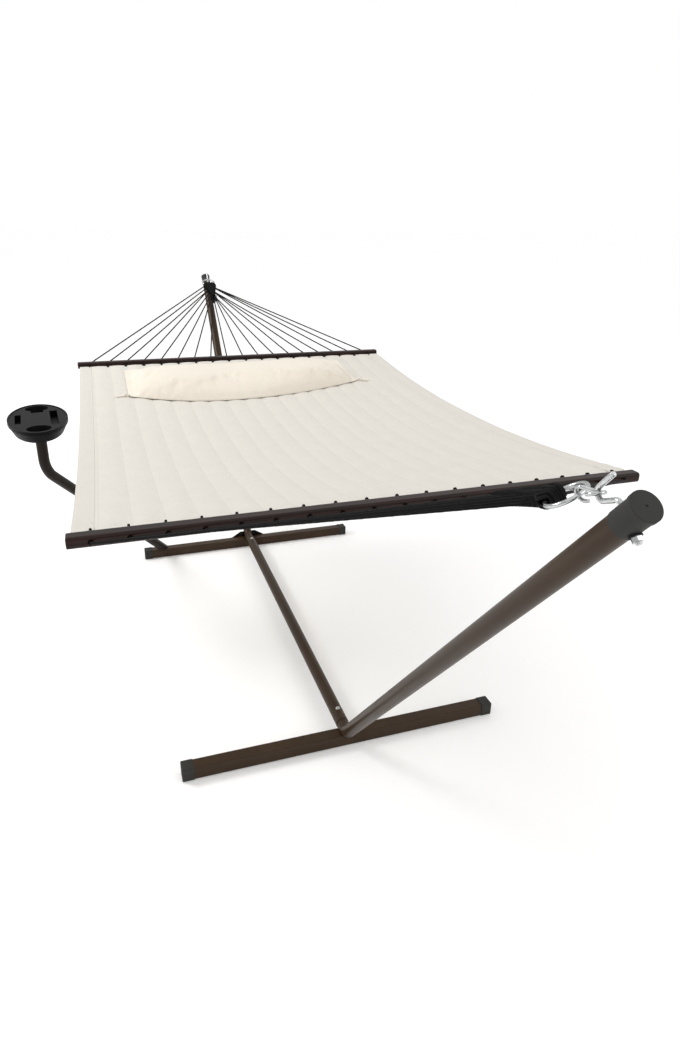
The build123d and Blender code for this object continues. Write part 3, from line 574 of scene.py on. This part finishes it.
bed = start_piece(
    bpy.ops.mesh.primitive_grid_add,
    "bed_cloth",
    x_subdivisions=COLUMNS,
    y_subdivisions=ROWS,
    size=1,
)
grid = points_of(bed)
column = np.rint((grid[:, 0] + 0.5) * COLUMNS).astype(int)
row = np.rint((grid[:, 1] + 0.5) * ROWS).astype(int)
grid[:, 0] = -BED_HALF_WIDTH + column * 2 * BED_HALF_WIDTH / COLUMNS
grid[:, 1] = row_places()[row]
grid[:, 2] = 0
set_points(bed, grid)

holes = [rope_x(index) for index in range(ROPE_COUNT)]
bpy.ops.object.mode_set(mode="EDIT")
bpy.ops.mesh.select_all(action="DESELECT")
bpy.ops.object.mode_set(mode="OBJECT")
for face in bed.data.polygons:
    x, y = face.center.x, face.center.y
    from_end = min(HEM_EDGE["head"] - y, y + HEM_EDGE["foot"])
    beside_rope = min(abs(x - hole) for hole in holes) < NOTCH_HALF_WIDTH
    face.select = from_end < NOTCH_DEPTH and beside_rope
bpy.ops.object.mode_set(mode="EDIT")
bpy.ops.mesh.select_mode(type="FACE")
bpy.ops.mesh.delete(type="FACE")
bpy.ops.object.mode_set(mode="OBJECT")
apply_modifier(bed, "SOLIDIFY", thickness=0.002, offset=0)
print("bed sheet", len(bed.data.polygons), "faces in two layers")

# %% [markdown]
# ### Fullness
# Half the bed's thickness at each point: an arch across each channel, a round tunnel over the
# cord in each hem, a thin flat band under the side binding, and small drifts and puckers so that
# no two channels are alike. Seams pull the wadding in, so the arch is steepest beside a seam.

# %% Fill the channels
SEAM_HALF, CHANNEL_HALF = 0.0022, 0.0056
FLAT_HEM_HALF, TUNNEL_HALF = 0.0016, 0.0040
TUNNEL_FROM_EDGE, TUNNEL_REACH = 0.0070, 0.0065
THINNEST_HALF, BAND_HALF = 0.0013, 0.0024
CHANNEL_START, CHANNEL_RUN_IN = 0.0265, 0.030
SIDE_BAND = BED_HALF_WIDTH - 9 * QUILT_PITCH
places = points_of(bed)
upper = places[:, 2] > 0
x, y = places[:, 0].copy(), places[:, 1].copy()
from_end = np.minimum(HEM_EDGE["head"] - y, y + HEM_EDGE["foot"])
from_side = BED_HALF_WIDTH - np.abs(x)

from_seam = np.abs((x / QUILT_PITCH + 0.5) % 1 - 0.5) * 2
arch = np.sin(np.clip(from_seam, 0, 1) * math.pi / 2) ** 0.95
flat_places = np.stack([x, y, np.where(upper, 0.0, 1.0)], 1)
drift = ripple(flat_places * np.array([1, 0.35, 1]), 9, 1)
pucker = ripple(flat_places * np.array([1, 3.2, 1]), 11, 2)
fullness = SEAM_HALF + (CHANNEL_HALF - SEAM_HALF) * arch * (1 + 0.10 * drift + 0.16 * pucker)

from_tunnel = (from_end - TUNNEL_FROM_EDGE) / TUNNEL_REACH
tunnel = FLAT_HEM_HALF + TUNNEL_HALF * np.exp(-(from_tunnel**2))
into_channels = np.clip((from_end - CHANNEL_START) / CHANNEL_RUN_IN, 0, 1) ** 0.55
channel = THINNEST_HALF + (fullness - THINNEST_HALF) * into_channels
fullness = np.where(from_end < HEM, tunnel, channel)
in_band = (from_side < SIDE_BAND) & (from_end > HEM)
fullness = np.where(in_band, np.minimum(fullness, BAND_HALF), fullness)

# %% [markdown]
# ### Sag and edges
# The loose edge between two rope loops draws back a little, as a hem does. The whole sheet then
# takes the bed's sag. Drag lines run from the loops into the first hand's breadth, and small
# folds gather at the four corners, where the bar holds the hem and the side pulls inwards.

# %% Hang the bed
FOLD_DEPTH, FOLD_REACH, FOLD_PITCH = 0.0018, 0.07, 0.021
DRAG_DEPTH, DRAG_START, DRAG_REACH = 0.0030, 0.02, 0.09
SWAY_DEPTH = 0.0026
EDGE_DRAW_BACK, LOOP_GRIP = 0.0022, 0.012


def corner_folds(x, y):
    """Small folds that run in from each corner of the bed."""
    along = np.minimum(HEM_EDGE["head"] - y, y + HEM_EDGE["foot"])
    inward = BED_HALF_WIDTH - np.abs(x)
    reach = np.exp(-np.hypot(along - 0.02, inward) / FOLD_REACH) * np.clip(along / 0.03, 0, 1)
    wave = np.sin((inward * 0.9 + along * 0.35) * 2 * math.pi / FOLD_PITCH)
    return FOLD_DEPTH * reach * wave


def drag_lines(x, from_end):
    """Ridges that run in from the rope loops and fade."""
    ridges = DRAG_DEPTH * np.cos(2 * math.pi * (x / ROPE_PITCH + 0.5))
    return ridges * np.exp(-from_end / DRAG_REACH) * (1 - np.exp(-from_end / DRAG_START))


def cloth_sway(x, y):
    """Slow unevenness of the hanging cloth."""
    return SWAY_DEPTH * ripple(np.stack([x, y, 0 * x], 1), 3.1, 5)


to_loop = np.abs((x / ROPE_PITCH) % 1 - 0.5) * 2
near_end = np.exp(-from_end / LOOP_GRIP)
toward_middle = np.where(y > 0, -1, 1)
pull_back = EDGE_DRAW_BACK * to_loop**2 * near_end
middle_height = bed_surface(x, y) - BED_THICKNESS / 2 - drag_lines(x, from_end)
middle_height = middle_height + cloth_sway(x, y) * (1 - near_end) + corner_folds(x, y)
z = middle_height + np.where(upper, fullness, -fullness)
set_points(bed, np.stack([x, y + toward_middle * pull_back, z], 1))
store_cloth_uv(bed, x, y)
finish_piece(bed, bed_cloth, "hammock")
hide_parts("quilted_bed")

# %% [markdown]
# ## Side hems
# A strip of the same cloth is folded over each long edge of the bed and sewn down. It is a closed
# ribbon bent round the edge: a grid whose columns go round the strip's section and whose rows run
# down the bed. It follows the bed's own sway, so that it lies on the cloth everywhere.

# %% Hem the sides
TAPE_WIDTH = 0.045
TAPE_ROWS = 160
TAPE_END_GAP = 0.0025


def tape_section():
    """The tape's section as (distance in from the edge, height): over the edge and back inside."""
    outer_half, inner_half = 0.0033, 0.0026
    outer = [(TAPE_WIDTH, 0.0027), (TAPE_WIDTH - 0.001, outer_half), (HEM_STITCH, 0.0028)]
    outer += [(HEM_STITCH - 0.003, outer_half), (0.022, 0.0035), (0.012, outer_half)]
    outer += [(0.003, outer_half), (-0.0008, 0.0026), (-0.0020, 0)]
    outer += [(a, -b) for a, b in outer[-2::-1]]
    inner = [(TAPE_WIDTH, -0.0024), (0.030, -0.0025), (0.012, -inner_half), (0.001, -0.0015)]
    inner += [(0.001, 0.0015), (0.012, inner_half), (0.030, 0.0025), (TAPE_WIDTH, 0.0024)]
    return outer + inner


def bind_side(name, side):
    """One hem: the strip's section carried down the whole side of the bed."""
    section = tape_section()
    count = len(section)
    tape = start_piece(
        bpy.ops.mesh.primitive_grid_add,
        name,
        x_subdivisions=count,
        y_subdivisions=TAPE_ROWS,
        size=1,
    )
    grid = points_of(tape)
    turn = np.rint((grid[:, 0] + 0.5) * count).astype(int)
    step = grid[:, 1] + 0.5
    inward = np.array([section[i % count][0] for i in turn])
    height = np.array([section[i % count][1] for i in turn])
    along = -HEM_EDGE["foot"] + TAPE_END_GAP + step * (BED_LENGTH - 2 * TAPE_END_GAP)
    reach = side * (BED_HALF_WIDTH - inward)
    on_bed = np.clip(reach, -BED_HALF_WIDTH, BED_HALF_WIDTH)
    from_end = np.minimum(step, 1 - step) * BED_LENGTH
    sway = cloth_sway(on_bed, along) * (1 - np.exp(-from_end / LOOP_GRIP))
    round_hem = 1 + 0.75 * np.exp(-((from_end / 0.02) ** 2))
    level = bed_surface(on_bed, along) - BED_THICKNESS / 2 + corner_folds(on_bed, along)
    level -= drag_lines(on_bed, from_end)
    set_points(tape, np.stack([reach, along, level + sway + height * round_hem], 1))
    store_cloth_uv(tape, inward, along)
    bpy.ops.object.mode_set(mode="EDIT")
    bpy.ops.mesh.select_all(action="SELECT")
    bpy.ops.mesh.remove_doubles(threshold=0.00001)
    bpy.ops.object.mode_set(mode="OBJECT")
    finish_piece(tape, hem_cloth, "hammock")


for side_name, side in {"left": -1, "right": 1}.items():
    bind_side(f"{side_name}_side_hem", side)

# %% [markdown]
# ## The pillow
# The pillow is a long case with soft filling, sewn round its edge, with flat flaps at both ends
# that carry the ties. A real pillow gets its shape from being stuffed, so this one is stuffed
# too: a flat two-layer case is blown up by the cloth solver, with the flaps held still, and then
# laid down on the bed, which flattens its underside.

# %% Cut the pillow case
PILLOW_LEFT, PILLOW_RIGHT = -0.512, 0.456
PILLOW_BACK, PILLOW_FRONT, FRONT_MIDDLE_X = 0.776, 0.354, -0.17
PILLOW_FLAP = 0.030
PILLOW_COLUMNS, PILLOW_ROWS = 120, 54
PILLOW_HEIGHT, PILLOW_BELLY = 0.05828, 0.006
PILLOW_CREST = 0.38
BACK_CORNER_DROP = 0.02
pillow_middle = (PILLOW_LEFT + PILLOW_RIGHT) / 2
pillow_half = (PILLOW_RIGHT - PILLOW_LEFT) / 2


def pillow_front(x):
    """The front seam: it bows towards the foot end, more sharply on the left."""
    return PILLOW_FRONT + np.where(x < FRONT_MIDDLE_X, 0.72, 0.315) * (x - FRONT_MIDDLE_X) ** 2


def pillow_back(share):
    """The back seam, from the share of the way out to an end: almost straight."""
    return PILLOW_BACK - BACK_CORNER_DROP * share**4


case = start_piece(
    bpy.ops.mesh.primitive_grid_add,
    "pillow_cover",
    x_subdivisions=PILLOW_COLUMNS,
    y_subdivisions=PILLOW_ROWS,
    size=1,
)
grid = points_of(case)
share_x, share_y = grid[:, 0] * 2, grid[:, 1] + 0.5
case_x = pillow_middle + share_x * pillow_half
case_y = pillow_front(case_x) + share_y * (pillow_back(share_x) - pillow_front(case_x))
set_points(case, np.stack([case_x, case_y, 0 * case_x], 1))
apply_modifier(case, "SOLIDIFY", thickness=0.003, offset=0)
flat_case = points_of(case)
on_top = flat_case[:, 2] > 0


def fullness_of_case(x, y):
    """How full the case is, from 0 at its seams to 1 along its crest, which lies well forward."""
    filled = np.clip(np.abs(x - pillow_middle) / (pillow_half - PILLOW_FLAP), 0, 1)
    back = pillow_back((x - pillow_middle) / pillow_half)
    across = np.clip((y - pillow_front(x)) / (back - pillow_front(x)), 0, 1)
    rise = (1 - np.clip(1 - across / PILLOW_CREST, 0, 1) ** 2.3) ** 0.6
    past_crest = np.clip((across - PILLOW_CREST) / (1 - PILLOW_CREST), 0, 1)
    fall = np.cos(past_crest * math.pi / 2) ** 0.9
    dent = 0.11 * np.exp(-(((x + 0.10) / 0.12) ** 2))
    lump = 0.09 * np.exp(-(((x - 0.25) / 0.15) ** 2))
    return (1 - filled**6) ** 0.5 * np.where(across < PILLOW_CREST, rise, fall) * (1 - dent + lump)


packed = flat_case.copy()
full = fullness_of_case(packed[:, 0], packed[:, 1])
packed[:, 2] += np.where(on_top, PILLOW_HEIGHT, -PILLOW_BELLY) * full
set_points(case, packed)
print("pillow case", len(case.data.polygons), "faces")

# %% [markdown]
# ### Stuff it
# Pressure pushes every face outwards and the cloth resists. The cloth is given about one percent
# more length than the sewn edge that holds it, and that spare length has to go somewhere: it makes
# the short creases along the seams. Gravity stays off, because the bed does its work afterwards.
# No point may move further than a small limit, so the pillow keeps the height it was cut for.

# %% Blow up the case
STUFFING_LIMIT = 0.006
sewn = case.vertex_groups.new(name="sewn_edge")
for point, place, share in zip(case.data.vertices, flat_case, full):
    if share < 0.10 or pillow_half - abs(place[0] - pillow_middle) < PILLOW_FLAP:
        sewn.add([point.index], 1.0, "REPLACE")
stuffing = case.modifiers.new("stuffing", "CLOTH")
stuffing.settings.quality = 7
stuffing.settings.mass = 0.2
stuffing.settings.tension_stiffness = 15
stuffing.settings.compression_stiffness = 15
stuffing.settings.shear_stiffness = 5
stuffing.settings.bending_stiffness = 0.6
stuffing.settings.shrink_min = -0.012
stuffing.settings.use_pressure = True
stuffing.settings.uniform_pressure_force = 2
stuffing.settings.vertex_group_mass = "sewn_edge"
stuffing.settings.effector_weights.gravity = 0
stuffing.point_cache.frame_start, stuffing.point_cache.frame_end = 1, 20
for moment in range(1, 21):
    bpy.context.scene.frame_set(moment)
select_only(case)
bpy.ops.object.modifier_apply(modifier="stuffing")
bpy.context.scene.frame_set(1)

# %% Lay the pillow on the bed
THINNEST_CASE = 0.0012
UNDERSIDE_GAP = 0.0002
TOP_LIFT = 0.0016
UNDERSIDE_SINK = 0.0006
stuffed = points_of(case)
move = stuffed - packed
far = np.linalg.norm(move, axis=1)
print("stuffing moved the cloth by up to", round(float(far.max()), 4), "m")
move *= np.minimum(1, STUFFING_LIMIT / np.maximum(far, 1e-6))[:, None]
laid = packed + move
bed_height = bed_surface(np.clip(laid[:, 0], -0.68, 0.68), laid[:, 1])
height_over = np.maximum(laid[:, 2], THINNEST_CASE)
underside = UNDERSIDE_GAP - UNDERSIDE_SINK * full
laid[:, 2] = bed_height + np.where(on_top, TOP_LIFT + height_over, underside)
set_points(case, laid)
store_cloth_uv(case, flat_case[:, 0] + NO_STITCH_PITCH / 2, flat_case[:, 1])
apply_modifier(case, "SUBSURF", levels=1, render_levels=1)
finish_piece(case, pillow_cloth, "hammock")
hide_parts("pillow")

# %% [markdown]
# ## Ropes
# A rope is three strands twisted together. One straight length is made by sweeping a three-lobed
# section up a screw, and is then laid along a route. The route is a smooth spline through a few
# points, and the rope's points follow the positions read from it.


# %% Helpers for ropes
LOBE_DEPTH = 0.13
NEVER_ALONG_A_ROPE = (0.31, 0.17, 0.93)


def spline_points(points):
    """A smooth line from a few control points, as Blender's own spline gives it."""
    data = bpy.data.curves.new("route", "CURVE")
    data.dimensions = "3D"
    data.resolution_u = 8
    spline = data.splines.new("NURBS")
    spline.points.add(len(points) - 1)
    for point, place in zip(spline.points, points):
        point.co = (*place, 1)
    spline.order_u = 3
    spline.use_endpoint_u = True
    holder = bpy.data.objects.new("route", data)
    line = bpy.data.meshes.new_from_object(holder)
    found = [v.co.copy() for v in line.vertices]
    bpy.data.objects.remove(holder)
    bpy.data.curves.remove(data)
    bpy.data.meshes.remove(line)
    return found


def straight_rope(name, length, radius, sides, ring_gap, lay_length):
    """Twisted strands standing on the origin: a lobed circle swept up a screw."""
    rope = start_piece(
        bpy.ops.mesh.primitive_circle_add, name, vertices=sides, radius=radius, fill_type="NOTHING"
    )
    section = points_of(rope)
    angle = np.arctan2(section[:, 1], section[:, 0])
    lobes = 1 - LOBE_DEPTH * (1 - np.abs(np.cos(1.5 * angle)))
    section[:, :2] *= lobes[:, None]
    set_points(rope, section)
    steps = max(2, int(length / ring_gap))
    turns = length / lay_length
    apply_modifier(
        rope,
        "SCREW",
        axis="Z",
        angle=2 * math.pi * turns,
        screw_offset=length,
        steps=steps,
        render_steps=steps,
        iterations=1,
        use_smooth_shade=True,
    )
    return rope


def lay_along(rope, route):
    """Moves a rope that stands on the origin so that it follows the route."""
    line = np.array([list(p) for p in route])
    runs = np.linalg.norm(np.diff(line, axis=0), axis=1)
    reached = np.concatenate([[0], np.cumsum(runs)])
    tangent = np.gradient(line, axis=0)
    tangent /= np.linalg.norm(tangent, axis=1)[:, None]
    side = np.cross(tangent[0], NEVER_ALONG_A_ROPE)
    sides = []
    for direction in tangent:
        side = side - direction * (side @ direction)
        side /= np.linalg.norm(side)
        sides.append(side)
    sides = np.array(sides)
    places = points_of(rope)
    at = np.clip(places[:, 2] / places[:, 2].max(), 0, 1) * reached[-1]

    def between(values):
        return np.stack([np.interp(at, reached, values[:, k]) for k in range(3)], 1)

    centre, ahead, first = between(line), between(tangent), between(sides)
    ahead /= np.linalg.norm(ahead, axis=1)[:, None]
    first -= ahead * (first * ahead).sum(1)[:, None]
    first /= np.linalg.norm(first, axis=1)[:, None]
    second = np.cross(ahead, first)
    set_points(rope, centre + first * places[:, :1] + second * places[:, 1:2])


def rope_bundle(name, routes, radius, sides=9, ring_gap=0.006, lay_length=0.045):
    """Ropes along several routes, joined as one piece with closed ends."""
    laid = []
    for number, points in enumerate(routes):
        route = spline_points(points)
        length = sum((b - a).length for a, b in zip(route, route[1:]))
        rope = straight_rope(f"{name}_{number}", length, radius, sides, ring_gap, lay_length)
        lay_along(rope, route)
        laid.append(rope)
    bundle = join(laid, name)
    bpy.ops.object.mode_set(mode="EDIT")
    bpy.ops.mesh.select_all(action="DESELECT")
    bpy.ops.mesh.select_mode(type="EDGE")
    bpy.ops.mesh.select_non_manifold(extend=False)
    bpy.ops.mesh.edge_face_add()
    bpy.ops.object.mode_set(mode="OBJECT")
    finish_piece(bundle, rope_fibre, "hammock", 60)
    return bundle


# %% [markdown]
# ### Where the ropes run
# Eighteen ropes fan out from each ring to the holes in a spreader bar. The hanging ring lies on
# the line of pull from the hook to the middle of the bar, so the ring's place and the bar's give
# the direction, and a small roll about it gives the ring's plane.

# %% The hanging plane at each end
ROPE_RADIUS = 0.003
RING_ROLL = {"head": 0, "foot": -25}
RING_RADIUS = 0.031
INNER_START, OUTER_START = 0.185, 0.048
INNER_SPREAD, OUTER_SPREAD = 0.0125, 0.0205
BUNDLE_GROWTH = {"head": 1.25, "foot": 0.55}
LASHING_MARGIN = 0.0055
LAYER_STEP = 0.0064
BEND_OUTSIDE_BAR = 0.006
BEND_LENGTH = 0.009
ROPE_END_BEHIND_BAR = 0.0015


def middle_of(node):
    low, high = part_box(node)
    return (low + high) / 2


def hanging_plane(end):
    """The ring's middle, and the directions along the pull, across it, and square to both."""
    ring = middle_of(f"{end}_ring")
    pull = (middle_of(f"{end}_spreader_bar") - ring).normalized()
    turn = math.radians(RING_ROLL[end])
    square = Vector((1, 0, 0)).cross(pull)
    normal = square * math.cos(turn) - Vector((1, 0, 0)) * (ENDS[end] * math.sin(turn))
    across = normal.cross(pull)
    return ring, pull, across, normal


def rope_start(end, index):
    """Where a rope comes out of the bundle below the ring."""
    ring, pull, across, normal = hanging_plane(end)
    share = 2 * index / (ROPE_COUNT - 1) - 1
    along = INNER_START + (OUTER_START - INNER_START) * abs(share)
    aside = share * (INNER_SPREAD + (OUTER_SPREAD - INNER_SPREAD) * abs(share))
    aside *= min(1, BUNDLE_GROWTH[end])
    if across.x < 0:
        aside = -aside
    layer = (index % 3 - 1) * (-1 if RING_ROLL[end] < 0 else 1)
    return ring + pull * along + across * aside + normal * layer * LAYER_STEP


def rope_route(end, index):
    """From the bundle, straight to the bar, a small bend, and through the hole to the loop."""
    side = ENDS[end]
    low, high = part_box(f"{end}_spreader_bar")
    outer = max(abs(low.y), abs(high.y)) + BEND_OUTSIDE_BAR
    inner = min(abs(low.y), abs(high.y)) - ROPE_END_BEHIND_BAR
    x = rope_x(index)
    start = rope_start(end, index)
    corner = Vector((x, side * outer, BAR_LEVEL))
    before = corner + (start - corner).normalized() * BEND_LENGTH
    after = corner - Vector((0, side * BEND_LENGTH, 0))
    lowered = BAR_LEVEL - 0.8 * float(slack_below_bar(side * inner))
    return [start, before, corner, after, Vector((x, side * inner, lowered))]


# %% Lay the fan of ropes at both ends
for end in ENDS:
    routes = [rope_route(end, index) for index in range(ROPE_COUNT)]
    fan = rope_bundle(f"{end}_rope_fan", routes, ROPE_RADIUS)
    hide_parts(f"{end}_ropes")

# %% [markdown]
# ### The gathered ropes at the ring
# Each rope goes up to the ring, round its wire and back down as the next rope, so there are nine
# turns on the ring. Below it the ropes are bound with a lashing: flat turns of thinner cord whose
# width follows the bundle. At the head end the lashing's slack hangs down in a few small loops.

# %% Gather the ropes on the rings
RING_WIRE_RADIUS = 0.0035
TURN_ON_RING = RING_WIRE_RADIUS + ROPE_RADIUS + 0.0004
LAST_TURN = {"head": 43, "foot": 30}
TURN_LAYER = {"head": 0.0022, "foot": 0.0042}
RING_TURNS = ROPE_COUNT // 2
LASHING_CORD_RADIUS = 0.002
LASHING_TURNS, LASHING_START, LASHING_PITCH = 33, 0.046, 0.0042
LASHING_HALF_HEIGHT = 0.0125
LASHING_LEAN = 0.0022
SLACK_LOOPS = (0.030, 0.042, 0.036, 0.046, 0.040, 0.028)
SLACK_START, SLACK_APART, SLACK_HALF_WIDTH = 0.158, 0.004, 0.0045


def ring_turn_route(end, pair):
    """One rope from its start, round the ring's wire, and back as its neighbour."""
    ring, pull, across, normal = hanging_plane(end)
    flip = -1 if across.x < 0 else 1
    share = 2 * pair / (RING_TURNS - 1) - 1
    angle = math.radians(LAST_TURN[end] * share) * flip
    outward = pull * math.cos(angle) + across * math.sin(angle)
    wire = ring + outward * RING_RADIUS
    r = TURN_ON_RING + TURN_LAYER[end] * (pair % 2)
    going, coming = rope_start(end, 2 * pair), rope_start(end, 2 * pair + 1)
    over = [
        wire + normal * r + outward * 0.012,
        wire + normal * r * 1.05 + outward * 0.002,
        wire + normal * r * 1.05 - outward * r * 1.05,
        wire - normal * r * 1.05 - outward * r * 1.05,
        wire - normal * r * 1.05 + outward * 0.002,
        wire - normal * r + outward * 0.012,
    ]
    upper_way = going.lerp(over[0], 0.5) + normal * 0.002
    lower_way = coming.lerp(over[-1], 0.5) - normal * 0.002
    return [going, upper_way, *over, lower_way, coming]


def lashing_route(end, along, half_width):
    """One flat turn of cord round the bundle."""
    ring, pull, across, normal = hanging_plane(end)
    middle = ring + pull * along
    half_width = LASHING_MARGIN + (half_width - LASHING_MARGIN) * BUNDLE_GROWTH[end]
    half_height = LASHING_HALF_HEIGHT * max(0.92, BUNDLE_GROWTH[end])
    wide, tall = across * half_width, normal * half_height
    oval = [(0, -1), (0.8, -1), (1, -0.6), (1, 0.6), (0.8, 1), (0, 1)]
    oval += [(-0.8, 1), (-1, 0.6), (-1, -0.6), (-0.8, -1), (0, -1), (0.3, -1)]
    lean = pull * LASHING_LEAN
    return [
        middle + wide * a + tall * b + lean * (step / len(oval)) for step, (a, b) in enumerate(oval)
    ]


def slack_loop_route(turn):
    """One slack loop of the lashing, which hangs below the head bundle."""
    ring, pull, _, normal = hanging_plane("head")
    top = ring + pull * (SLACK_START + 0.006 * (turn % 3)) - normal * 0.006
    top.x += SLACK_APART * (turn - (len(SLACK_LOOPS) - 1) / 2)
    length, half = SLACK_LOOPS[turn], SLACK_HALF_WIDTH
    down = [
        Vector((-half, 0, 0)),
        Vector((-half - 0.001, 0.001, -0.5 * length)),
        Vector((-half * 0.7, 0.001, -0.92 * length)),
        Vector((0, 0, -length)),
    ]
    up = [Vector((-point.x, -point.y, point.z)) for point in down[-2::-1]]
    return [top + point for point in down + up]


def lashing_turns():
    """Places and half widths of the turns, which narrow with the bundle."""
    turns = []
    for number in range(LASHING_TURNS):
        along = LASHING_START + number * LASHING_PITCH
        share = min(1, max(0, (INNER_START - along) / (INNER_START - OUTER_START)))
        width = share * (INNER_SPREAD + (OUTER_SPREAD - INNER_SPREAD) * share) + LASHING_MARGIN
        turns.append((along, width + 0.0008 * math.sin(2.4 * number)))
    return turns


for end in ENDS:
    routes = [ring_turn_route(end, pair) for pair in range(RING_TURNS)]
    turns = rope_bundle(f"{end}_ring_turns", routes, ROPE_RADIUS, ring_gap=0.003)
    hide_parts(f"{end}_clew")
    routes = [lashing_route(end, along, half_width) for along, half_width in lashing_turns()]
    if end == "head":
        routes += [slack_loop_route(turn) for turn in range(len(SLACK_LOOPS))]
    rope_bundle(
        f"{end}_lashing",
        routes,
        LASHING_CORD_RADIUS,
        sides=8,
        ring_gap=0.003,
        lay_length=0.02,
    )

# %% [markdown]
# ### Loops in the hems
# Behind each bar a rope ends in a loop round the cord in the bed's hem. The loops come from the
# same twisted rope, laid round a circle. At the head end the hem hangs a little low, so the cord
# in it is laid again at that height.

# %% Loops round the hem cords
LOOP_RADIUS = 0.0075
HEM_CORD_RADIUS = 0.004


def cord_line(end):
    """Where the cord in a hem lies: its y and its height."""
    low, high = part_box(f"{end}_edge_cord")
    cord_y = (low.y + high.y) / 2
    return cord_y, BAR_LEVEL - float(slack_below_bar(cord_y))


def loop_route(end, index):
    """Once round the cord and a little more, so that the spline closes."""
    centre = Vector((rope_x(index), *cord_line(end)))
    circle = []
    for step in range(10):
        angle = 2 * math.pi * step / 8
        reach = LOOP_RADIUS * 1.06
        circle.append(centre + Vector((0, math.cos(angle) * reach, math.sin(angle) * reach)))
    return circle


low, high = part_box("head_edge_cord")
cord_route = [
    Vector((low.x + (high.x - low.x) * step / 4, *cord_line("head"))) for step in range(5)
]
head_cord = rope_bundle("head_hem_cord", [cord_route], HEM_CORD_RADIUS, sides=12, lay_length=0.05)
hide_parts("head_edge_cord")

for end in ENDS:
    routes = [loop_route(end, index) for index in range(ROPE_COUNT)]
    loops = rope_bundle(f"{end}_hem_loops", routes, ROPE_RADIUS, ring_gap=0.0028, lay_length=0.03)
    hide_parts(f"{end}_rope_loops")

# %% [markdown]
# ## Pillow ties
# A narrow tape is sewn to each front corner of the pillow and knotted. Each tie is a short
# ribbon with a lump of a knot near the pillow, and its tail lies on the bed.


# %% Tie the pillow
TIE_LENGTH, TIE_WIDTH = 0.056, 0.009
KNOT_AT = 0.28


def tie_tape(name, side):
    """A ribbon that runs outwards from the pillow's corner, and its knot."""
    start_x = pillow_middle + side * (pillow_half - 0.006)
    start_y = float(pillow_front(start_x)) + 0.006
    tape = start_piece(
        bpy.ops.mesh.primitive_grid_add, name, x_subdivisions=20, y_subdivisions=4, size=1
    )
    grid = points_of(tape)
    t, w = grid[:, 0] + 0.5, grid[:, 1]
    pinch = 1 - 0.55 * np.exp(-(((t - KNOT_AT) / 0.07) ** 2))
    px = start_x + side * t * TIE_LENGTH
    py = start_y + w * TIE_WIDTH * pinch - 0.012 * t**2
    pz = bed_surface(px, py) + 0.0062 + 0.0025 * np.sin(t * 7) * (1 - t) - 0.002 * t
    set_points(tape, np.stack([px, py, pz], 1))
    apply_modifier(tape, "SOLIDIFY", thickness=0.0012, offset=0)
    knot = start_piece(
        bpy.ops.mesh.primitive_torus_add,
        name + "_knot",
        major_segments=20,
        minor_segments=10,
        major_radius=0.0042,
        minor_radius=0.0028,
    )
    places = points_of(knot)
    kx, ky = start_x + side * KNOT_AT * TIE_LENGTH, start_y - 0.001
    middle = np.array([kx, ky, float(bed_surface(kx, ky)) + 0.0080])
    upright = np.stack([places[:, 2] * 1.2, places[:, 0] * 1.25, places[:, 1]], 1)
    set_points(knot, upright + middle)
    return join([tape, knot], name)


ties = [tie_tape("pillow_tie_left", -1), tie_tape("pillow_tie_right", 1)]
tie_pair = join(ties, "pillow_tie_tapes")
tie_places = points_of(tie_pair)
store_cloth_uv(tie_pair, tie_places[:, 1], tie_places[:, 0])
finish_piece(tie_pair, pillow_cloth, "hammock", 40)
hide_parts("pillow_ties")

# %% [markdown]
# ## Floor and light
# A plain pale floor and a white sky keep the eye on the object. The floor glows a little, so that
# it stays white far away, and the sky is brighter overhead than at its edge. The key light is the
# smaller and stronger one. It stands high on the left, beyond the middle of the bed, and gives
# the bed its gentle shading. A wider and weaker light from the right front fills the shadows.

# %% Floor
floor = start_piece(bpy.ops.mesh.primitive_plane_add, "studio_floor", size=160)
floor_finish = start_finish("pale_matt_floor", "fafafa", 0.9, Emission_Strength=0.11)[0]
floor.data.materials.append(floor_finish)

# %% Light
world = bpy.data.worlds.new("white_studio")
bpy.context.scene.world = world
world.use_nodes = True
sky_tree = world.node_tree
sky_tree.nodes.clear()
direction = add_node(sky_tree, "ShaderNodeTexCoord").outputs["Generated"]
height = add_node(sky_tree, "ShaderNodeSeparateXYZ", {"Vector": direction}).outputs["Z"]
glow = add_node(
    sky_tree,
    "ShaderNodeMapRange",
    {"Value": height, "From Min": 0.0, "From Max": 0.9, "To Min": 0.5, "To Max": 1.1},
)
room = add_node(
    sky_tree, "ShaderNodeBackground", {"Color": (1, 1, 1, 1), "Strength": glow.outputs[0]}
)
backdrop = add_node(sky_tree, "ShaderNodeBackground", {"Color": (1, 1, 1, 1), "Strength": 1.0})
seen = add_node(sky_tree, "ShaderNodeLightPath").outputs["Is Camera Ray"]
sky_mix = add_node(
    sky_tree, "ShaderNodeMixShader", {0: seen, 1: room.outputs[0], 2: backdrop.outputs[0]}
)
add_node(sky_tree, "ShaderNodeOutputWorld", {"Surface": sky_mix.outputs[0]})


def soft_light(name, place, aim, size, power):
    """A square area light that looks from one place to another."""
    bpy.ops.object.light_add(type="AREA", location=place)
    light = bpy.context.object
    light.name = name
    light.data.size = size
    light.data.energy = power
    light.rotation_euler = (Vector(aim) - Vector(place)).to_track_quat("-Z", "Y").to_euler()


soft_light("key_softbox", (-3.4, 1.6, 3.5), (0, 0, 0.8), 1.4, 95)
soft_light("fill_softbox", (2.6, -3.4, 3.2), (0, -0.5, 0.6), 2.2, 25)
